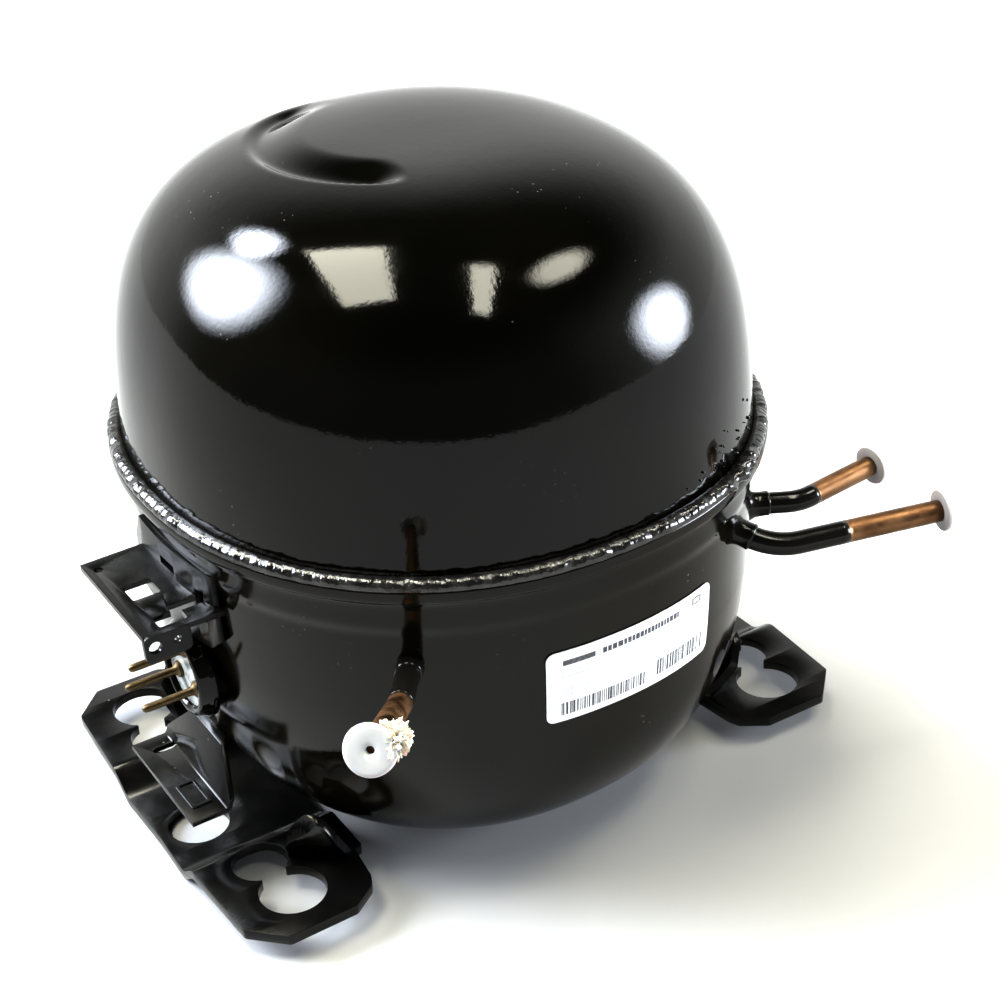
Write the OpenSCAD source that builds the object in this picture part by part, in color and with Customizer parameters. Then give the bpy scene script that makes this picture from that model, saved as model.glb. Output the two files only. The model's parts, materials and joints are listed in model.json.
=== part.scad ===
// Hermetic reciprocating refrigeration compressor with a spring-hung, slide-block driven pump.
// Millimetres. X runs from the electrical terminal to the pipe side, Z is up.
// The origin is the centre of the grommet holes, in the plane of the feet's underside.

/* [Shell] */
// Half width of the shell wall along X at the seam
shell_a = 86; // [85:0.5:88]
// Half length of the shell wall along Y at the seam
shell_b = 91; // [90:0.5:93]
// Height of the seam over the feet's underside
seam_z = 105; // [104:0.5:107]
// Height of the dome above the seam
dome_h = 80; // [78:1:84]
// Depth of the lower shell below the seam
lower_h = 109; // [108:0.5:110]
// Thickness of the drawn shell sheet
sheet_t = 3; // [2.6:0.1:3.2]
// Depth of the crescent pressed into the dome
crescent_depth = 1.9; // [1.5:0.1:3]
// Height of the lower shell's flared lip
lip_h = 4; // [3:0.5:5]
// How far the flared lip stands out from the wall
lip_out = 3.9; // [3.5:0.1:4.5]

/* [Base plates] */
// Thickness of the base plate sheet
plate_t = 3; // [2.5:0.1:3]
// Half the inner hole pattern's pitch along X
inner_hole_x = 85; // [84.8:0.1:85.2]
// Half the inner hole pattern's pitch along Y
inner_hole_y = 35; // [34.8:0.1:35.2]
// Radius of the inner grommet hole
inner_hole_r = 8; // [7.5:0.1:8.3]
// Half the outer hole pattern's pitch along X
outer_hole_x = 82.55; // [82.4:0.05:82.7]
// Half the outer hole pattern's pitch along Y
outer_hole_y = 50.8; // [50.6:0.1:51]
// Radius of the outer grommet hole
outer_hole_r = 9.5; // [9:0.1:9.8]
// How far the middle of each plate lies below its feet
mid_drop = 6; // [5:0.5:6.5]

/* [Electrical terminal] */
// Height of the terminal's centre
terminal_z = 56; // [55:0.5:57]
// Y position of the terminal's centre
terminal_y = -10; // [-11:0.5:-9]
// Radius of one terminal pin
pin_r = 1.15; // [1.1:0.05:1.2]
// Diameter of the circle that the three pins stand on
pin_pcd = 13.4; // [13:0.1:14]

/* [Pipes] */
// Outside diameter of the copper pipes
pipe_od = 6.35; // [6:0.05:6.6]
// Inside diameter of the copper pipes
pipe_id = 4.75; // [4.6:0.05:5]
// Diameter of the shipping plugs' heads
plug_d = 12; // [11:0.5:13]

/* [Pump] */
// Cylinder bore
bore = 24; // [23.8:0.1:24]
// Piston stroke
stroke = 14; // [13.8:0.1:14]
// Height of the cylinder's axis
cylinder_z = 109; // [109:0.5:110]
// Radial running clearance of shafts and sliders
running = 0.04; // [0.02:0.01:0.06]
// Diameter of the crankshaft's journal
shaft_d = 16; // [15.8:0.1:16]

/* [Motor] */
// Height of the stator's underside
stator_z = 26; // [25.5:0.5:26.5]
// Height of the stator's lamination stack
stack_h = 36; // [34:1:36]
// Diameter of the rotor
rotor_d = 58; // [56:0.5:58]
// Radial air gap between rotor and stator
air_gap = 0.3; // [0.25:0.05:0.4]

/* [Hidden] */
$fn = 48;

// Plan exponent of the shell, and the two exponents of its dome and of its pan
plan_n = 2.16;
dome_p = 3.2;
dome_q = 3.5;
dome_taper = 0.034;
pan_p = 3.5;
pan_q = 4.1;
around = 64;

// Feet: the bends lie between these two distances from the centre
bend_in = 18.5;
bend_out = 29;
flange_along = [0.788, 0.616];
flange_out = [0.616, -0.788];

// Crescent on the dome: its deepest line is an arc, with a gentle slope on the inside of
// the arc, a steeper one on the outside, and a smooth run-out at each end angle
crescent_c = [4, 14];
crescent_r = 39;
crescent_in = 12;
crescent_out = 4.5;
crescent_from = 96;
crescent_to = 241;
fade_from = 24;
fade_to = 13;

// Terminal guard: Y range, heights of its two shelves, and X of the shelves' edges
guard_y0 = -31;
guard_y1 = 12.5;
guard_top = 85;
guard_low = 22;
guard_out = -106;
guard_t = 1.6;

// Terminal: radius of a pin inside the glass, distance of the glass's faces from the centre,
// and the two ends of a pin
pin_root_r = 1;
glass_back = 82;
glass_face = 88.5;
pin_back = 74;
pin_tip = 104.5;

// Crank, slide block and piston
throw = stroke / 2;
crank_pin_r = 6;
oil_bore_r = 1.6;
shaft_low = 12;
web_z0 = 91.8;
web_z1 = 96;
pin_top = 117;
block_h = 12;
block_x = 16;
block_y = 14;
slot_x = block_x + stroke + 1.4;
yoke_wall = 4;
piston_len = 26;
piston_face = throw + 39.8;

// Crankcase casting and the stack of parts on the cylinder's face
case_z = 80;
case_top = 90;
hub_r = 14;
bush_r = 10;
block_half = 21;
block_top = 129;
bore_start = 24;
bore_face = throw + 41;
gasket_t = 0.5;
valve_plate_t = 3;
plate_y = bore_face + gasket_t;
head_y = plate_y + valve_plate_t + gasket_t;
head_t = 14;
screw_r = 2.4;
reed_t = 0.2;

// Discharge muffler's place and the internal line's diameter
muffler_x = 36;
muffler_y = -22;
loop_od = 4.8;

// Stator slots, corner bolts and suspension springs
slots = 24;
slot_in = 32;
slot_deep = 15;
slot_w = 3.2;
corner_at = 39.5;
bolt_r = 2.5;
spring_z0 = 9;
spring_z1 = 21;
spring_r = 5.6;
wire_r = 0.8;

// Outer boundary of the shell in plan, and the two drawn profiles
function spow(v, e) = sign(v) * pow(abs(v), e);
function plan_point(t, a, b) = [a * spow(cos(t), 2 / plan_n), b * spow(sin(t), 2 / plan_n)];
function dome_u(s) = pow(1 - pow(s, dome_q), 1 / dome_p);
function pan_u(s) = pow(1 - pow(s, pan_q), 1 / pan_p);
function pan_s(u) = pow(1 - pow(u, pan_p), 1 / pan_q);
// Half width of the pan's outside along X at height z and distance y
function wall_x(y, z) = let (s = pan_s((seam_z - z) / lower_h))
    shell_a * s * pow(1 - pow(abs(y) / (shell_b * s), plan_n), 1 / plan_n);
// Height of the pan's inside over the point x, y
function floor_z(x, y) = let (a = shell_a - sheet_t, b = shell_b - sheet_t,
    s = pow(pow(abs(x) / a, plan_n) + pow(abs(y) / b, plan_n), 1 / plan_n))
    seam_z - (lower_h - sheet_t) * pan_u(s);
// Smooth step from 0 to 1, and the depth of the crescent at a point of the dome
function smooth(v) = let (c = min(max(v, 0), 1)) c * c * (3 - 2 * c);
function crescent(x, y) = let (dx = x - crescent_c[0], dy = y - crescent_c[1],
    rho = norm([dx, dy]), ang = (atan2(dy, dx) + 360) % 360,
    along = smooth((ang - crescent_from) / fade_from) * smooth((crescent_to - ang) / fade_to),
    ends = 1 + 0.4 * pow((ang - 173) / 65, 2), off = crescent_r - rho)
    crescent_depth * ends * along * smooth(off > 0 ? 1 - off / crescent_in : 1 + off / crescent_out);
// The values of s at which the profiles are sampled, from the wall to the crown
function levels(q, wall_n, crown_n) = concat(
    [for (i = [0:wall_n]) pow(cos(45 * i / wall_n), 2 / q)],
    [for (i = [1:crown_n]) let (s0 = pow(cos(45), 2 / q)) s0 + (0.04 - s0) * i / crown_n]);
function dome_ring(s, a, b, h) = let (u = dome_u(s), k = s * (1 - dome_taper * u))
    [for (i = [0:around - 1]) let (p = plan_point(360 * i / around, a * k, b * k))
        [p[0], p[1], seam_z + h * u - crescent(p[0], p[1])]];
function pan_ring(s, a, b, h) = let (u = pan_u(s))
    [for (i = [0:around - 1]) let (p = plan_point(360 * i / around, a * s, b * s))
        [p[0], p[1], seam_z - h * u]];
function flat_ring(a, b, z) = [for (i = [0:around - 1])
    let (p = plan_point(360 * i / around, a, b)) [p[0], p[1], z]];
function reversed(list) = [for (i = [len(list) - 1:-1:0]) list[i]];

// A closed solid through a stack of rings, with caps on its two ends or closed into a loop
module ring_stack(rings, flip = false, closed = false) {
    n = len(rings[0]);
    m = len(rings);
    points = [for (r = rings) for (p = r) p];
    sides = [for (j = [0:closed ? m - 1 : m - 2]) for (i = [0:n - 1])
        let (k = (i + 1) % n, a = j * n, b = (j + 1) % m * n)
        each [[a + i, a + k, b + k], [a + i, b + k, b + i]]];
    caps = [[for (i = [n - 1:-1:0]) i], [for (i = [0:n - 1]) (m - 1) * n + i]];
    faces = closed ? sides : concat(sides, caps);
    polyhedron(points, flip ? [for (f = faces) reversed(f)] : faces, convexity = 6);
}

// The frame whose Z axis points from p towards q, as a placement
module aim(p, q, toward = [0, 0, 1]) {
    z = (q - p) / norm(q - p);
    side = cross(toward, z);
    x = norm(side) < 0.001 ? [1, 0, 0] : side / norm(side);
    y = cross(z, x);
    multmatrix([[x[0], y[0], z[0], p[0]], [x[1], y[1], z[1], p[1]], [x[2], y[2], z[2], p[2]], [0, 0, 0, 1]])
        children();
}

// The route from p0 past the corner p1 to p2, with the corner rounded at radius r
function bend(p0, p1, p2, r, n = 8) = let (d1 = (p1 - p0) / norm(p1 - p0), d2 = (p2 - p1) / norm(p2 - p1),
    turn = acos(d1 * d2), cut = r * tan(turn / 2), a = p1 - d1 * cut,
    c = (d2 - d1 * (d1 * d2)) / norm(d2 - d1 * (d1 * d2)))
    concat([p0], [for (i = [0:n]) let (w = turn * i / n) a + d1 * r * sin(w) + c * r * (1 - cos(w))], [p2]);
// One ring of a tube of diameter d at each point of a route
function tube_loops(path, d, sides) = let (m = len(path) - 1)
    [for (k = [0:m]) let (q = path[min(k + 1, m)] - path[max(k - 1, 0)], z = q / norm(q),
        raw = cross([0.31, 0.94, 0.12], z), x = raw / norm(raw), y = cross(z, x))
        [for (j = [0:sides - 1]) path[k] + d / 2 * (x * cos(360 * j / sides) + y * sin(360 * j / sides))]];
module pipe(len, od, id) {
    linear_extrude(len) difference() {
        circle(d = od);
        circle(d = id);
    }
}
// A hollow copper pipe along a route
module copper_pipe(path) {
    loops = concat(tube_loops(path, pipe_od, pipe_sides), reversed(tube_loops(path, pipe_id, pipe_sides)));
    color([0.72, 0.4, 0.25]) ring_stack(loops, closed = true);
}

// Pipe routes: root in the wall, corner, open end, and the bend's radius
discharge_root = [46, -72.5, 85];
discharge_corner = [55.5, -85, 79.5];
discharge_end = [103, -98.2, 80.5];
discharge_bend = 20;
suction_root = [74, -44, 66];
suction_corner = [91, -53.5, 66];
suction_end = [119, -52, 67.5];
suction_bend = 14;
process_root = [-48.5, -68.6, 78.5];
process_corner = [-63, -87, 80];
process_end = [-86, -116, 95.5];
process_bend = 22;
pipe_routes = [[discharge_root, discharge_corner, discharge_end],
    [suction_root, suction_corner, suction_end], [process_root, process_corner, process_end]];
pipe_sides = 16;
stem_d = pipe_id * cos(180 / pipe_sides) - 2 * running;

module upper_shell() {
    s_list = levels(dome_q, 8, 18);
    outer = concat([flat_ring(shell_a, shell_b, seam_z - lip_h + 0.6)],
        [for (s = s_list) dome_ring(s, shell_a, shell_b, dome_h)]);
    inner = concat([flat_ring(shell_a - sheet_t, shell_b - sheet_t, seam_z - lip_h + 0.6)],
        [for (s = s_list) dome_ring(s, shell_a - sheet_t, shell_b - sheet_t, dome_h - sheet_t)]);
    color([0.05, 0.05, 0.05]) ring_stack(concat(reversed(outer), inner), true);
}

// The pan's inside, kept a little away from its wall
module pan_cavity(gap) {
    t = sheet_t + gap;
    s_list = [for (s = levels(pan_q, 6, 9)) if (pan_u(s) * lower_h > 24) s];
    ring_stack(reversed(concat([flat_ring(shell_a - t, shell_b - t, seam_z - 18)],
        [for (s = s_list) pan_ring(s, shell_a - t, shell_b - t, lower_h - t)])));
}
// The space taken by the pan's upper wall
module wall_space(off, z0, z1) {
    translate([0, 0, z0]) linear_extrude(z1 - z0)
        polygon([for (i = [0:around - 1]) plan_point(360 * i / around, shell_a + off, shell_b + off)]);
}

module lower_shell() {
    s_list = [for (s = levels(pan_q, 6, 9)) if (pan_u(s) * lower_h > 24) s];
    t = sheet_t;
    lip_a = shell_a + lip_out;
    lip_b = shell_b + lip_out;
    outer = concat([flat_ring(lip_a, lip_b, seam_z), flat_ring(lip_a, lip_b, seam_z - lip_h),
        flat_ring(shell_a + 0.6, shell_b + 0.6, seam_z - lip_h - 1.6),
        flat_ring(shell_a + 0.6, shell_b + 0.6, seam_z - 14),
        flat_ring(shell_a - 0.2, shell_b - 0.2, seam_z - 18)],
        [for (s = s_list) pan_ring(s, shell_a, shell_b, lower_h)]);
    inner = concat([flat_ring(shell_a + 0.1, shell_b + 0.1, seam_z),
        flat_ring(shell_a + 0.1, shell_b + 0.1, seam_z - lip_h + 0.5),
        flat_ring(shell_a - t, shell_b - t, seam_z - lip_h + 0.5),
        flat_ring(shell_a - t, shell_b - t, seam_z - 18)],
        [for (s = s_list) pan_ring(s, shell_a - t, shell_b - t, lower_h - t)]);
    color([0.05, 0.05, 0.05]) difference() {
        ring_stack(concat(reversed(outer), inner));
        translate([-shell_a - 5, terminal_y, terminal_z]) rotate([0, 90, 0]) cylinder(r = 13.1, h = 20);
        for (r = pipe_routes) aim(r[0] - 6 * (r[1] - r[0]) / norm(r[1] - r[0]), r[1])
            cylinder(d = pipe_od + 0.1, h = 22);
    }
}

// The bead sits in the corner between the lip's top and the upper shell's wall
module weld_bead() {
    a = shell_a + 0.05;
    b = shell_b + 0.05;
    rings = [for (i = [0:around]) let (t = 360 * i / around, p = plan_point(t, a, b),
        q = plan_point(t, a + 3.2, b + 3.2), m = (p + q) / 2, h = seam_z + 0.05)
        [[p[0], p[1], h], [q[0], q[1], h], [m[0] * 1.006, m[1] * 1.006, h + 2.1], [p[0], p[1], h + 2.8]]];
    points = [for (i = [0:around - 1]) for (p = rings[i]) p];
    faces = [for (i = [0:around - 1]) for (j = [0:3])
        let (k = (i + 1) % around, l = (j + 1) % 4)
        each [[i * 4 + j, k * 4 + j, k * 4 + l], [i * 4 + j, k * 4 + l, i * 4 + l]]];
    color([0.09, 0.09, 0.09]) polyhedron(points, faces, convexity = 6);
}

module base_plate() {
    side = [[67, 0], [bend_out, 0], [bend_in, -mid_drop], [-bend_in, -mid_drop], [-bend_out, 0],
        [-67, 0], [-67, plate_t], [-bend_out - 1, plate_t], [-bend_in - 1, plate_t - mid_drop],
        [bend_in + 1, plate_t - mid_drop], [bend_out + 1, plate_t], [67, plate_t]];
    half = [[58, 0], [58, 45.5], [60, 46], [62, 58], [63.5, 61.5], [71, 66.6], [91.5, 66.9],
        [100.8, 57.5], [102.3, 29], [101.6, 0]];
    outline = concat(half, [for (p = reversed(half)) [p[0], -p[1]]]);
    difference() {
        union() {
            intersection() {
                translate([55, 0, 0]) rotate([90, 0, 90]) linear_extrude(50) polygon(side);
                translate([0, 0, -10]) linear_extrude(20) polygon(outline);
            }
            foot_flange();
            mirror([0, 1, 0]) foot_flange();
        }
        // The upturned flange is cut back around the inner hole
        for (m = [-1, 1]) {
            translate([inner_hole_x, m * inner_hole_y, -20]) cylinder(r = inner_hole_r, h = 21 + plate_t);
            translate([inner_hole_x, m * inner_hole_y, plate_t]) cylinder(r = inner_hole_r + 0.8, h = 40);
            translate([outer_hole_x, m * outer_hole_y, -20]) cylinder(r = outer_hole_r, h = 40);
        }
    }
}

// The upturned inner edge of a foot leans out until it meets the pan's wall
module foot_flange() {
    hull() {
        flange_rib(19, 56, 71.5, 0.2, 2.8);
        flange_rib(25, 50, 84, 25, 2);
    }
}
// A bar along the flange, dist out from the centre, between two places along it
module flange_rib(from, to, dist, z, t) {
    place = flange_out * dist + flange_along * from;
    translate([place[0], place[1], z]) rotate([0, 0, atan2(flange_along[1], flange_along[0])])
        translate([0, -t, 0]) cube([to - from, t, 2.5]);
}

module base_plate_right() {
    color([0.06, 0.06, 0.06]) base_plate();
}
module base_plate_left() {
    color([0.06, 0.06, 0.06]) difference() {
        mirror([1, 0, 0]) base_plate();
        translate([-89.5, -3, -20]) cylinder(r = 9, h = 40);
    }
}

// Plan curve just outside the shell wall, from y0 to y1 on the terminal side
function guard_curve(off, y0, y1, z) = [for (i = [0:12]) let (y = y0 + (y1 - y0) * i / 12)
    [-wall_x(y, z) - off, y]];
module wall_band(y0, y1, z0, z1, off, t) {
    inner = guard_curve(off, y0, y1, z0);
    outer = guard_curve(off + t, y0, y1, z0);
    translate([0, 0, z0]) linear_extrude(z1 - z0) polygon(concat(inner, reversed(outer)));
}

module terminal_guard_upper() {
    y_len = guard_y1 - guard_y0;
    shelf_z = guard_top - guard_t;
    color([0.06, 0.06, 0.06]) difference() {
        union() {
            difference() {
                wall_band(guard_y0 + 3, guard_y1 + 5, 70, 94, 1.2, guard_t);
                terminal_axis() cylinder(r = 15, h = 120);
            }
            difference() {
                translate([guard_out, guard_y0, shelf_z]) cube([22, y_len, guard_t]);
                translate([0, 0, shelf_z - 1]) linear_extrude(4)
                    polygon(concat(guard_curve(1, guard_y0 - 1, guard_y1 + 1, 80), [[-60, 13.5], [-60, -32]]));
            }
            translate([guard_out, guard_y0, 77]) cube([13, guard_t, 8]);
        }
        translate([-101, -12.7, 80]) cube([8, 8, 10]);
        translate([-100.3, -28.2, 80]) cube([8, 5.2, 10]);
        translate([-102.7, 6.9, 80]) cylinder(r = 1.3, h = 10);
        translate([-103.2, -33, 81]) rotate([-90, 0, 0]) cylinder(r = 1.7, h = 6);
        translate([-96.8, -33, 81]) rotate([-90, 0, 0]) cylinder(r = 1.1, h = 6);
        translate([-95, -10, 86.6]) cube([14, 8, 2.6]);
        translate([-95, -24, 78]) cube([14, 4, 9.5]);
    }
}

module terminal_guard_lower() {
    leaf_z = guard_low - guard_t;
    y_len = guard_y1 - guard_y0 - 1;
    rise = 14;
    color([0.06, 0.06, 0.06]) difference() {
        union() {
            translate([-101, guard_y0, leaf_z]) cube([12, y_len, guard_t]);
            translate([0, guard_y0, 0]) rotate([-90, 0, 0]) linear_extrude(y_len) polygon([
                [-90.6, -leaf_z], [-89, -leaf_z], [-83.6, -leaf_z - rise], [-85.2, -leaf_z - rise]]);
        }
        translate([-97, 2.8, 15]) cube([7, 2.4, 10]);
        translate([-89.8, -24, 26]) rotate([0, 70, 0]) cube([4, 9, 8]);
    }
}

module terminal_axis() {
    translate([0, terminal_y, terminal_z]) rotate([0, -90, 0]) children();
}
function pin_spot(i) = [pin_pcd / 2 * cos(120 * i), pin_pcd / 2 * sin(120 * i)];
module terminal_cup() {
    color([0.05, 0.05, 0.05]) terminal_axis() rotate_extrude() polygon([[10.6, 80], [12.9, 80],
        [12.9, 85.2], [14.5, 85.2], [14.5, 87], [13.2, 90.5], [11.4, 90.5], [10.6, 89.5]]);
}
module terminal_glass() {
    color([0.75, 0.77, 0.76]) terminal_axis() difference() {
        translate([0, 0, glass_back]) cylinder(r = 10.6, h = glass_face - glass_back);
        for (i = [0:2]) translate([pin_spot(i)[0], pin_spot(i)[1], 70]) cylinder(r = pin_root_r, h = 30);
    }
}
module terminal_pins() {
    color([0.6, 0.5, 0.35]) terminal_axis() for (i = [0:2]) translate([pin_spot(i)[0], pin_spot(i)[1], 0]) {
        translate([0, 0, pin_back]) cylinder(r = pin_root_r, h = glass_face - pin_back);
        translate([0, 0, glass_face]) cylinder(r = pin_r, h = pin_tip - glass_face);
    }
}

module discharge_pipe() {
    copper_pipe(bend(discharge_root, discharge_corner, discharge_end, discharge_bend));
}
module suction_pipe() {
    copper_pipe(bend(suction_root, suction_corner, suction_end, suction_bend));
}
module process_pipe() {
    copper_pipe(bend(process_root, process_corner, process_end, process_bend));
}
// Short steel sleeves brazed into the wall around each pipe
module pipe_sleeves() {
    color([0.07, 0.07, 0.07]) for (r = pipe_routes) difference() {
        d = (r[1] - r[0]) / norm(r[1] - r[0]);
        aim(r[0] + d * 5.5, r[1]) pipe(3.2, pipe_od + 2.6, pipe_od);
        wall_space(0.1, 50, seam_z - 17.5);
        wall_space(0.7, seam_z - 18, seam_z - 5);
    }
}
// A flanged plug whose stem fills the open end of a pipe
module pipe_plug(corner, end) {
    d = (end - corner) / norm(end - corner);
    color([0.93, 0.93, 0.9]) difference() {
        union() {
            aim(end - d * 8, end + d * 10) cylinder(d = stem_d, h = 8.8);
            aim(end + d * 0.02, end + d * 10) cylinder(d = plug_d, h = 1.6);
        }
        aim(end - d * 9, end + d * 10) cylinder(d = 2, h = 20);
    }
}
module discharge_plug() {
    pipe_plug(discharge_corner, discharge_end);
}
module suction_plug() {
    pipe_plug(suction_corner, suction_end);
}
module process_plug() {
    pipe_plug(process_corner, process_end);
}

function label_point(t, z, off) = let (s = pan_s((seam_z - z) / lower_h),
    p = plan_point(t, shell_a * s + off, shell_b * s + off)) [p[0], p[1], z];
// A thin sheet that follows the pan's wall on the front right
module rating_label() {
    n = 12;
    t0 = -103;
    t1 = -69;
    low = 56;
    high = 78;
    loops = [for (i = [0:n]) let (t = t0 + (t1 - t0) * i / n)
        concat([for (k = [0:4]) label_point(t, high - (high - low) * k / 4, 0.35)],
        [for (k = [4:-1:0]) label_point(t, high - (high - low) * k / 4, 0.15)])];
    color([0.93, 0.93, 0.93]) ring_stack(loops, true);
}

// The four corners that carry the stator bolts and the springs
module corners() {
    for (x = [-1, 1]) for (y = [-1, 1]) translate([x * corner_at, y * corner_at, 0]) children();
}
module post(z0, z1, r) {
    translate([0, 0, z0]) cylinder(r = r, h = z1 - z0);
}
module spring_seats() {
    low = floor_z(corner_at, corner_at) - 3;
    color([0.55, 0.55, 0.57]) intersection() {
        corners() {
            post(low, spring_z0, 6.5);
            post(spring_z0, spring_z0 + 5, 3.6);
        }
        pan_cavity(0.1);
    }
}
// Each spring is a helix of round wire
module suspension_springs() {
    turns = 4;
    steps = 12;
    m = turns * steps;
    rise = spring_z1 - spring_z0 - 2 * wire_r - 0.04;
    loops = [for (k = [0:m]) let (t = 360 * k / steps, u = smooth(k / m))
        [for (j = [0:5]) let (w = 60 * j, r = spring_r - wire_r + wire_r * cos(w))
            [r * cos(t), r * sin(t), spring_z0 + 0.02 + wire_r + rise * u + wire_r * sin(w)]]];
    color([0.6, 0.6, 0.62]) corners() ring_stack(loops, true);
}
// Plastic caps under the stator corners hold the springs' upper ends
module spring_caps() {
    color([0.9, 0.88, 0.8]) corners() {
        post(spring_z1, stator_z, 7);
        post(spring_z1 - 3.5, spring_z1, 3.6);
    }
}

module stator_core() {
    color([0.5, 0.5, 0.52]) difference() {
        intersection() {
            post(stator_z, stator_z + stack_h, 62);
            translate([-54, -54, stator_z]) cube([108, 108, stack_h]);
        }
        post(stator_z - 1, stator_z + stack_h + 1, rotor_d / 2 + air_gap);
        for (i = [0:slots - 1]) rotate([0, 0, 360 * i / slots])
            translate([slot_in, -slot_w / 2, stator_z - 1]) cube([slot_deep, slot_w, stack_h + 2]);
        corners() post(stator_z - 1, stator_z + stack_h + 1, bolt_r + 0.2);
    }
}
// Copper in the slots, joined by a rounded coil end above and below the stack
module stator_windings() {
    coil_r = slot_in + slot_deep / 2;
    color([0.7, 0.35, 0.18]) union() {
        for (i = [0:slots - 1]) rotate([0, 0, 360 * i / slots])
            translate([slot_in + 0.5, 0.2 - slot_w / 2, stator_z - 1])
                cube([slot_deep - 1, slot_w - 0.4, stack_h + 2]);
        rotate_extrude() translate([coil_r, stator_z - 7]) coil_end(0.1);
        rotate_extrude() translate([coil_r, stator_z + stack_h + 7]) mirror([0, 1]) coil_end(0.1);
    }
}
module coil_end(gap) {
    circle(r = 6.5);
    translate([-6.5, 0]) square([13, 7 - gap]);
}
module stator_bolts() {
    color([0.62, 0.62, 0.6]) corners() {
        post(stator_z + 0.5, case_top, bolt_r);
        post(case_top, case_top + 3.5, 4.5);
    }
}

// Rotor stack and its cast end rings
module rotor_core() {
    color([0.52, 0.52, 0.54]) translate([0, 0, stator_z]) pipe(stack_h, rotor_d, shaft_d + 0.04);
}
module rotor_end_rings() {
    color([0.75, 0.76, 0.78]) {
        translate([0, 0, stator_z - 5]) pipe(5, rotor_d - 2, 38);
        translate([0, 0, stator_z + stack_h]) pipe(4, rotor_d - 2, 38);
    }
}

// Cast frame: table, main bearing hub, four legs and the cylinder block in one casting
module crankcase() {
    hub_z = stator_z + stack_h + 2;
    color([0.42, 0.42, 0.43]) difference() {
        union() {
            translate([-48, -48, case_z]) cube([96, 96, case_top - case_z]);
            post(hub_z, case_z, hub_r);
            corners() post(stator_z + stack_h, case_z, 6.5);
            translate([-block_half, bore_start, case_top])
                cube([2 * block_half, bore_face - bore_start, block_top - case_top]);
        }
        post(hub_z - 1, case_top + 1, bush_r);
        translate([0, 0, cylinder_z]) rotate([-90, 0, 0]) cylinder(d = bore, h = 80);
        corners() post(stator_z, case_top + 1, bolt_r + 0.1);
        head_screw_spots() translate([0, 0, bore_face - 13]) cylinder(r = screw_r + 0.05, h = 40);
    }
}
module main_bearing_bush() {
    hub_z = stator_z + stack_h + 2;
    color([0.72, 0.55, 0.3]) translate([0, 0, hub_z])
        pipe(case_top - hub_z, 2 * bush_r, shaft_d + 2 * running);
}
module thrust_washer() {
    color([0.66, 0.66, 0.68]) translate([0, 0, case_top]) pipe(web_z0 - case_top - 0.1, 2 * 13, shaft_d + 0.6);
}

// Frame whose Z axis runs along the cylinder, from the crankshaft towards the head
module along_cylinder() {
    translate([0, 0, cylinder_z]) rotate([-90, 0, 0]) children();
}
module head_screw_spots() {
    along_cylinder() for (x = [-1, 1]) for (y = [-1, 1]) translate([x * 16.5, y * 15, 0]) children();
}
// A flat plate across the cylinder block's face, drilled for the head screws
module head_plate(y0, y1) {
    difference() {
        translate([-block_half, y0, case_top + 0.5])
            cube([2 * block_half, y1 - y0, block_top - case_top - 0.5]);
        head_screw_spots() translate([0, 0, y0 - 1]) cylinder(r = screw_r, h = y1 - y0 + 2);
        children();
    }
}
module cylinder_gasket() {
    color([0.25, 0.35, 0.3]) head_plate(bore_face, bore_face + gasket_t)
        along_cylinder() translate([0, 0, bore_face - 1]) cylinder(r = bore / 2 + 0.5, h = 3);
}
module valve_plate() {
    color([0.6, 0.62, 0.64]) head_plate(plate_y, plate_y + valve_plate_t) {
        along_cylinder() translate([-5.5, 0, plate_y - 1]) cylinder(r = 2.6, h = 6);
        along_cylinder() translate([5.5, 0, plate_y - 1]) cylinder(r = 2.2, h = 6);
    }
}
// A thin strip over a port, clamped at its upper end
module reed(x, y, w, len) {
    translate([x - w / 2, y, cylinder_z - 4]) cube([w, reed_t, len]);
    translate([x, y, cylinder_z - 4]) rotate([-90, 0, 0]) cylinder(d = w, h = reed_t);
}
module suction_reed() {
    color([0.7, 0.72, 0.75]) reed(-5.5, plate_y - reed_t - 0.03, 7, 11);
}
module discharge_reed() {
    color([0.7, 0.72, 0.75]) reed(5.5, plate_y + valve_plate_t + 0.03, 6, 13);
}
module head_gasket() {
    y0 = plate_y + valve_plate_t;
    color([0.25, 0.35, 0.3]) head_plate(y0, y0 + gasket_t) plenums(y0 - 1, 3);
}
// The suction and discharge chambers of the head
module plenums(y0, depth) {
    translate([-12, y0, cylinder_z - 10]) cube([10.5, depth, 22]);
    translate([1.5, y0, cylinder_z - 10]) cube([10.5, depth, 22]);
}
module cylinder_head() {
    color([0.7, 0.71, 0.73]) difference() {
        head_plate(head_y, head_y + head_t) plenums(head_y - 1, 10);
        translate([-7, head_y + 4, cylinder_z]) cylinder(r = 3, h = 40);
    }
}
module head_screws() {
    color([0.35, 0.35, 0.36]) head_screw_spots() {
        translate([0, 0, bore_face - 12]) cylinder(r = screw_r, h = head_y + head_t - bore_face + 12);
        translate([0, 0, head_y + head_t]) cylinder(r = 4.2, h = 4);
    }
}

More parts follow.
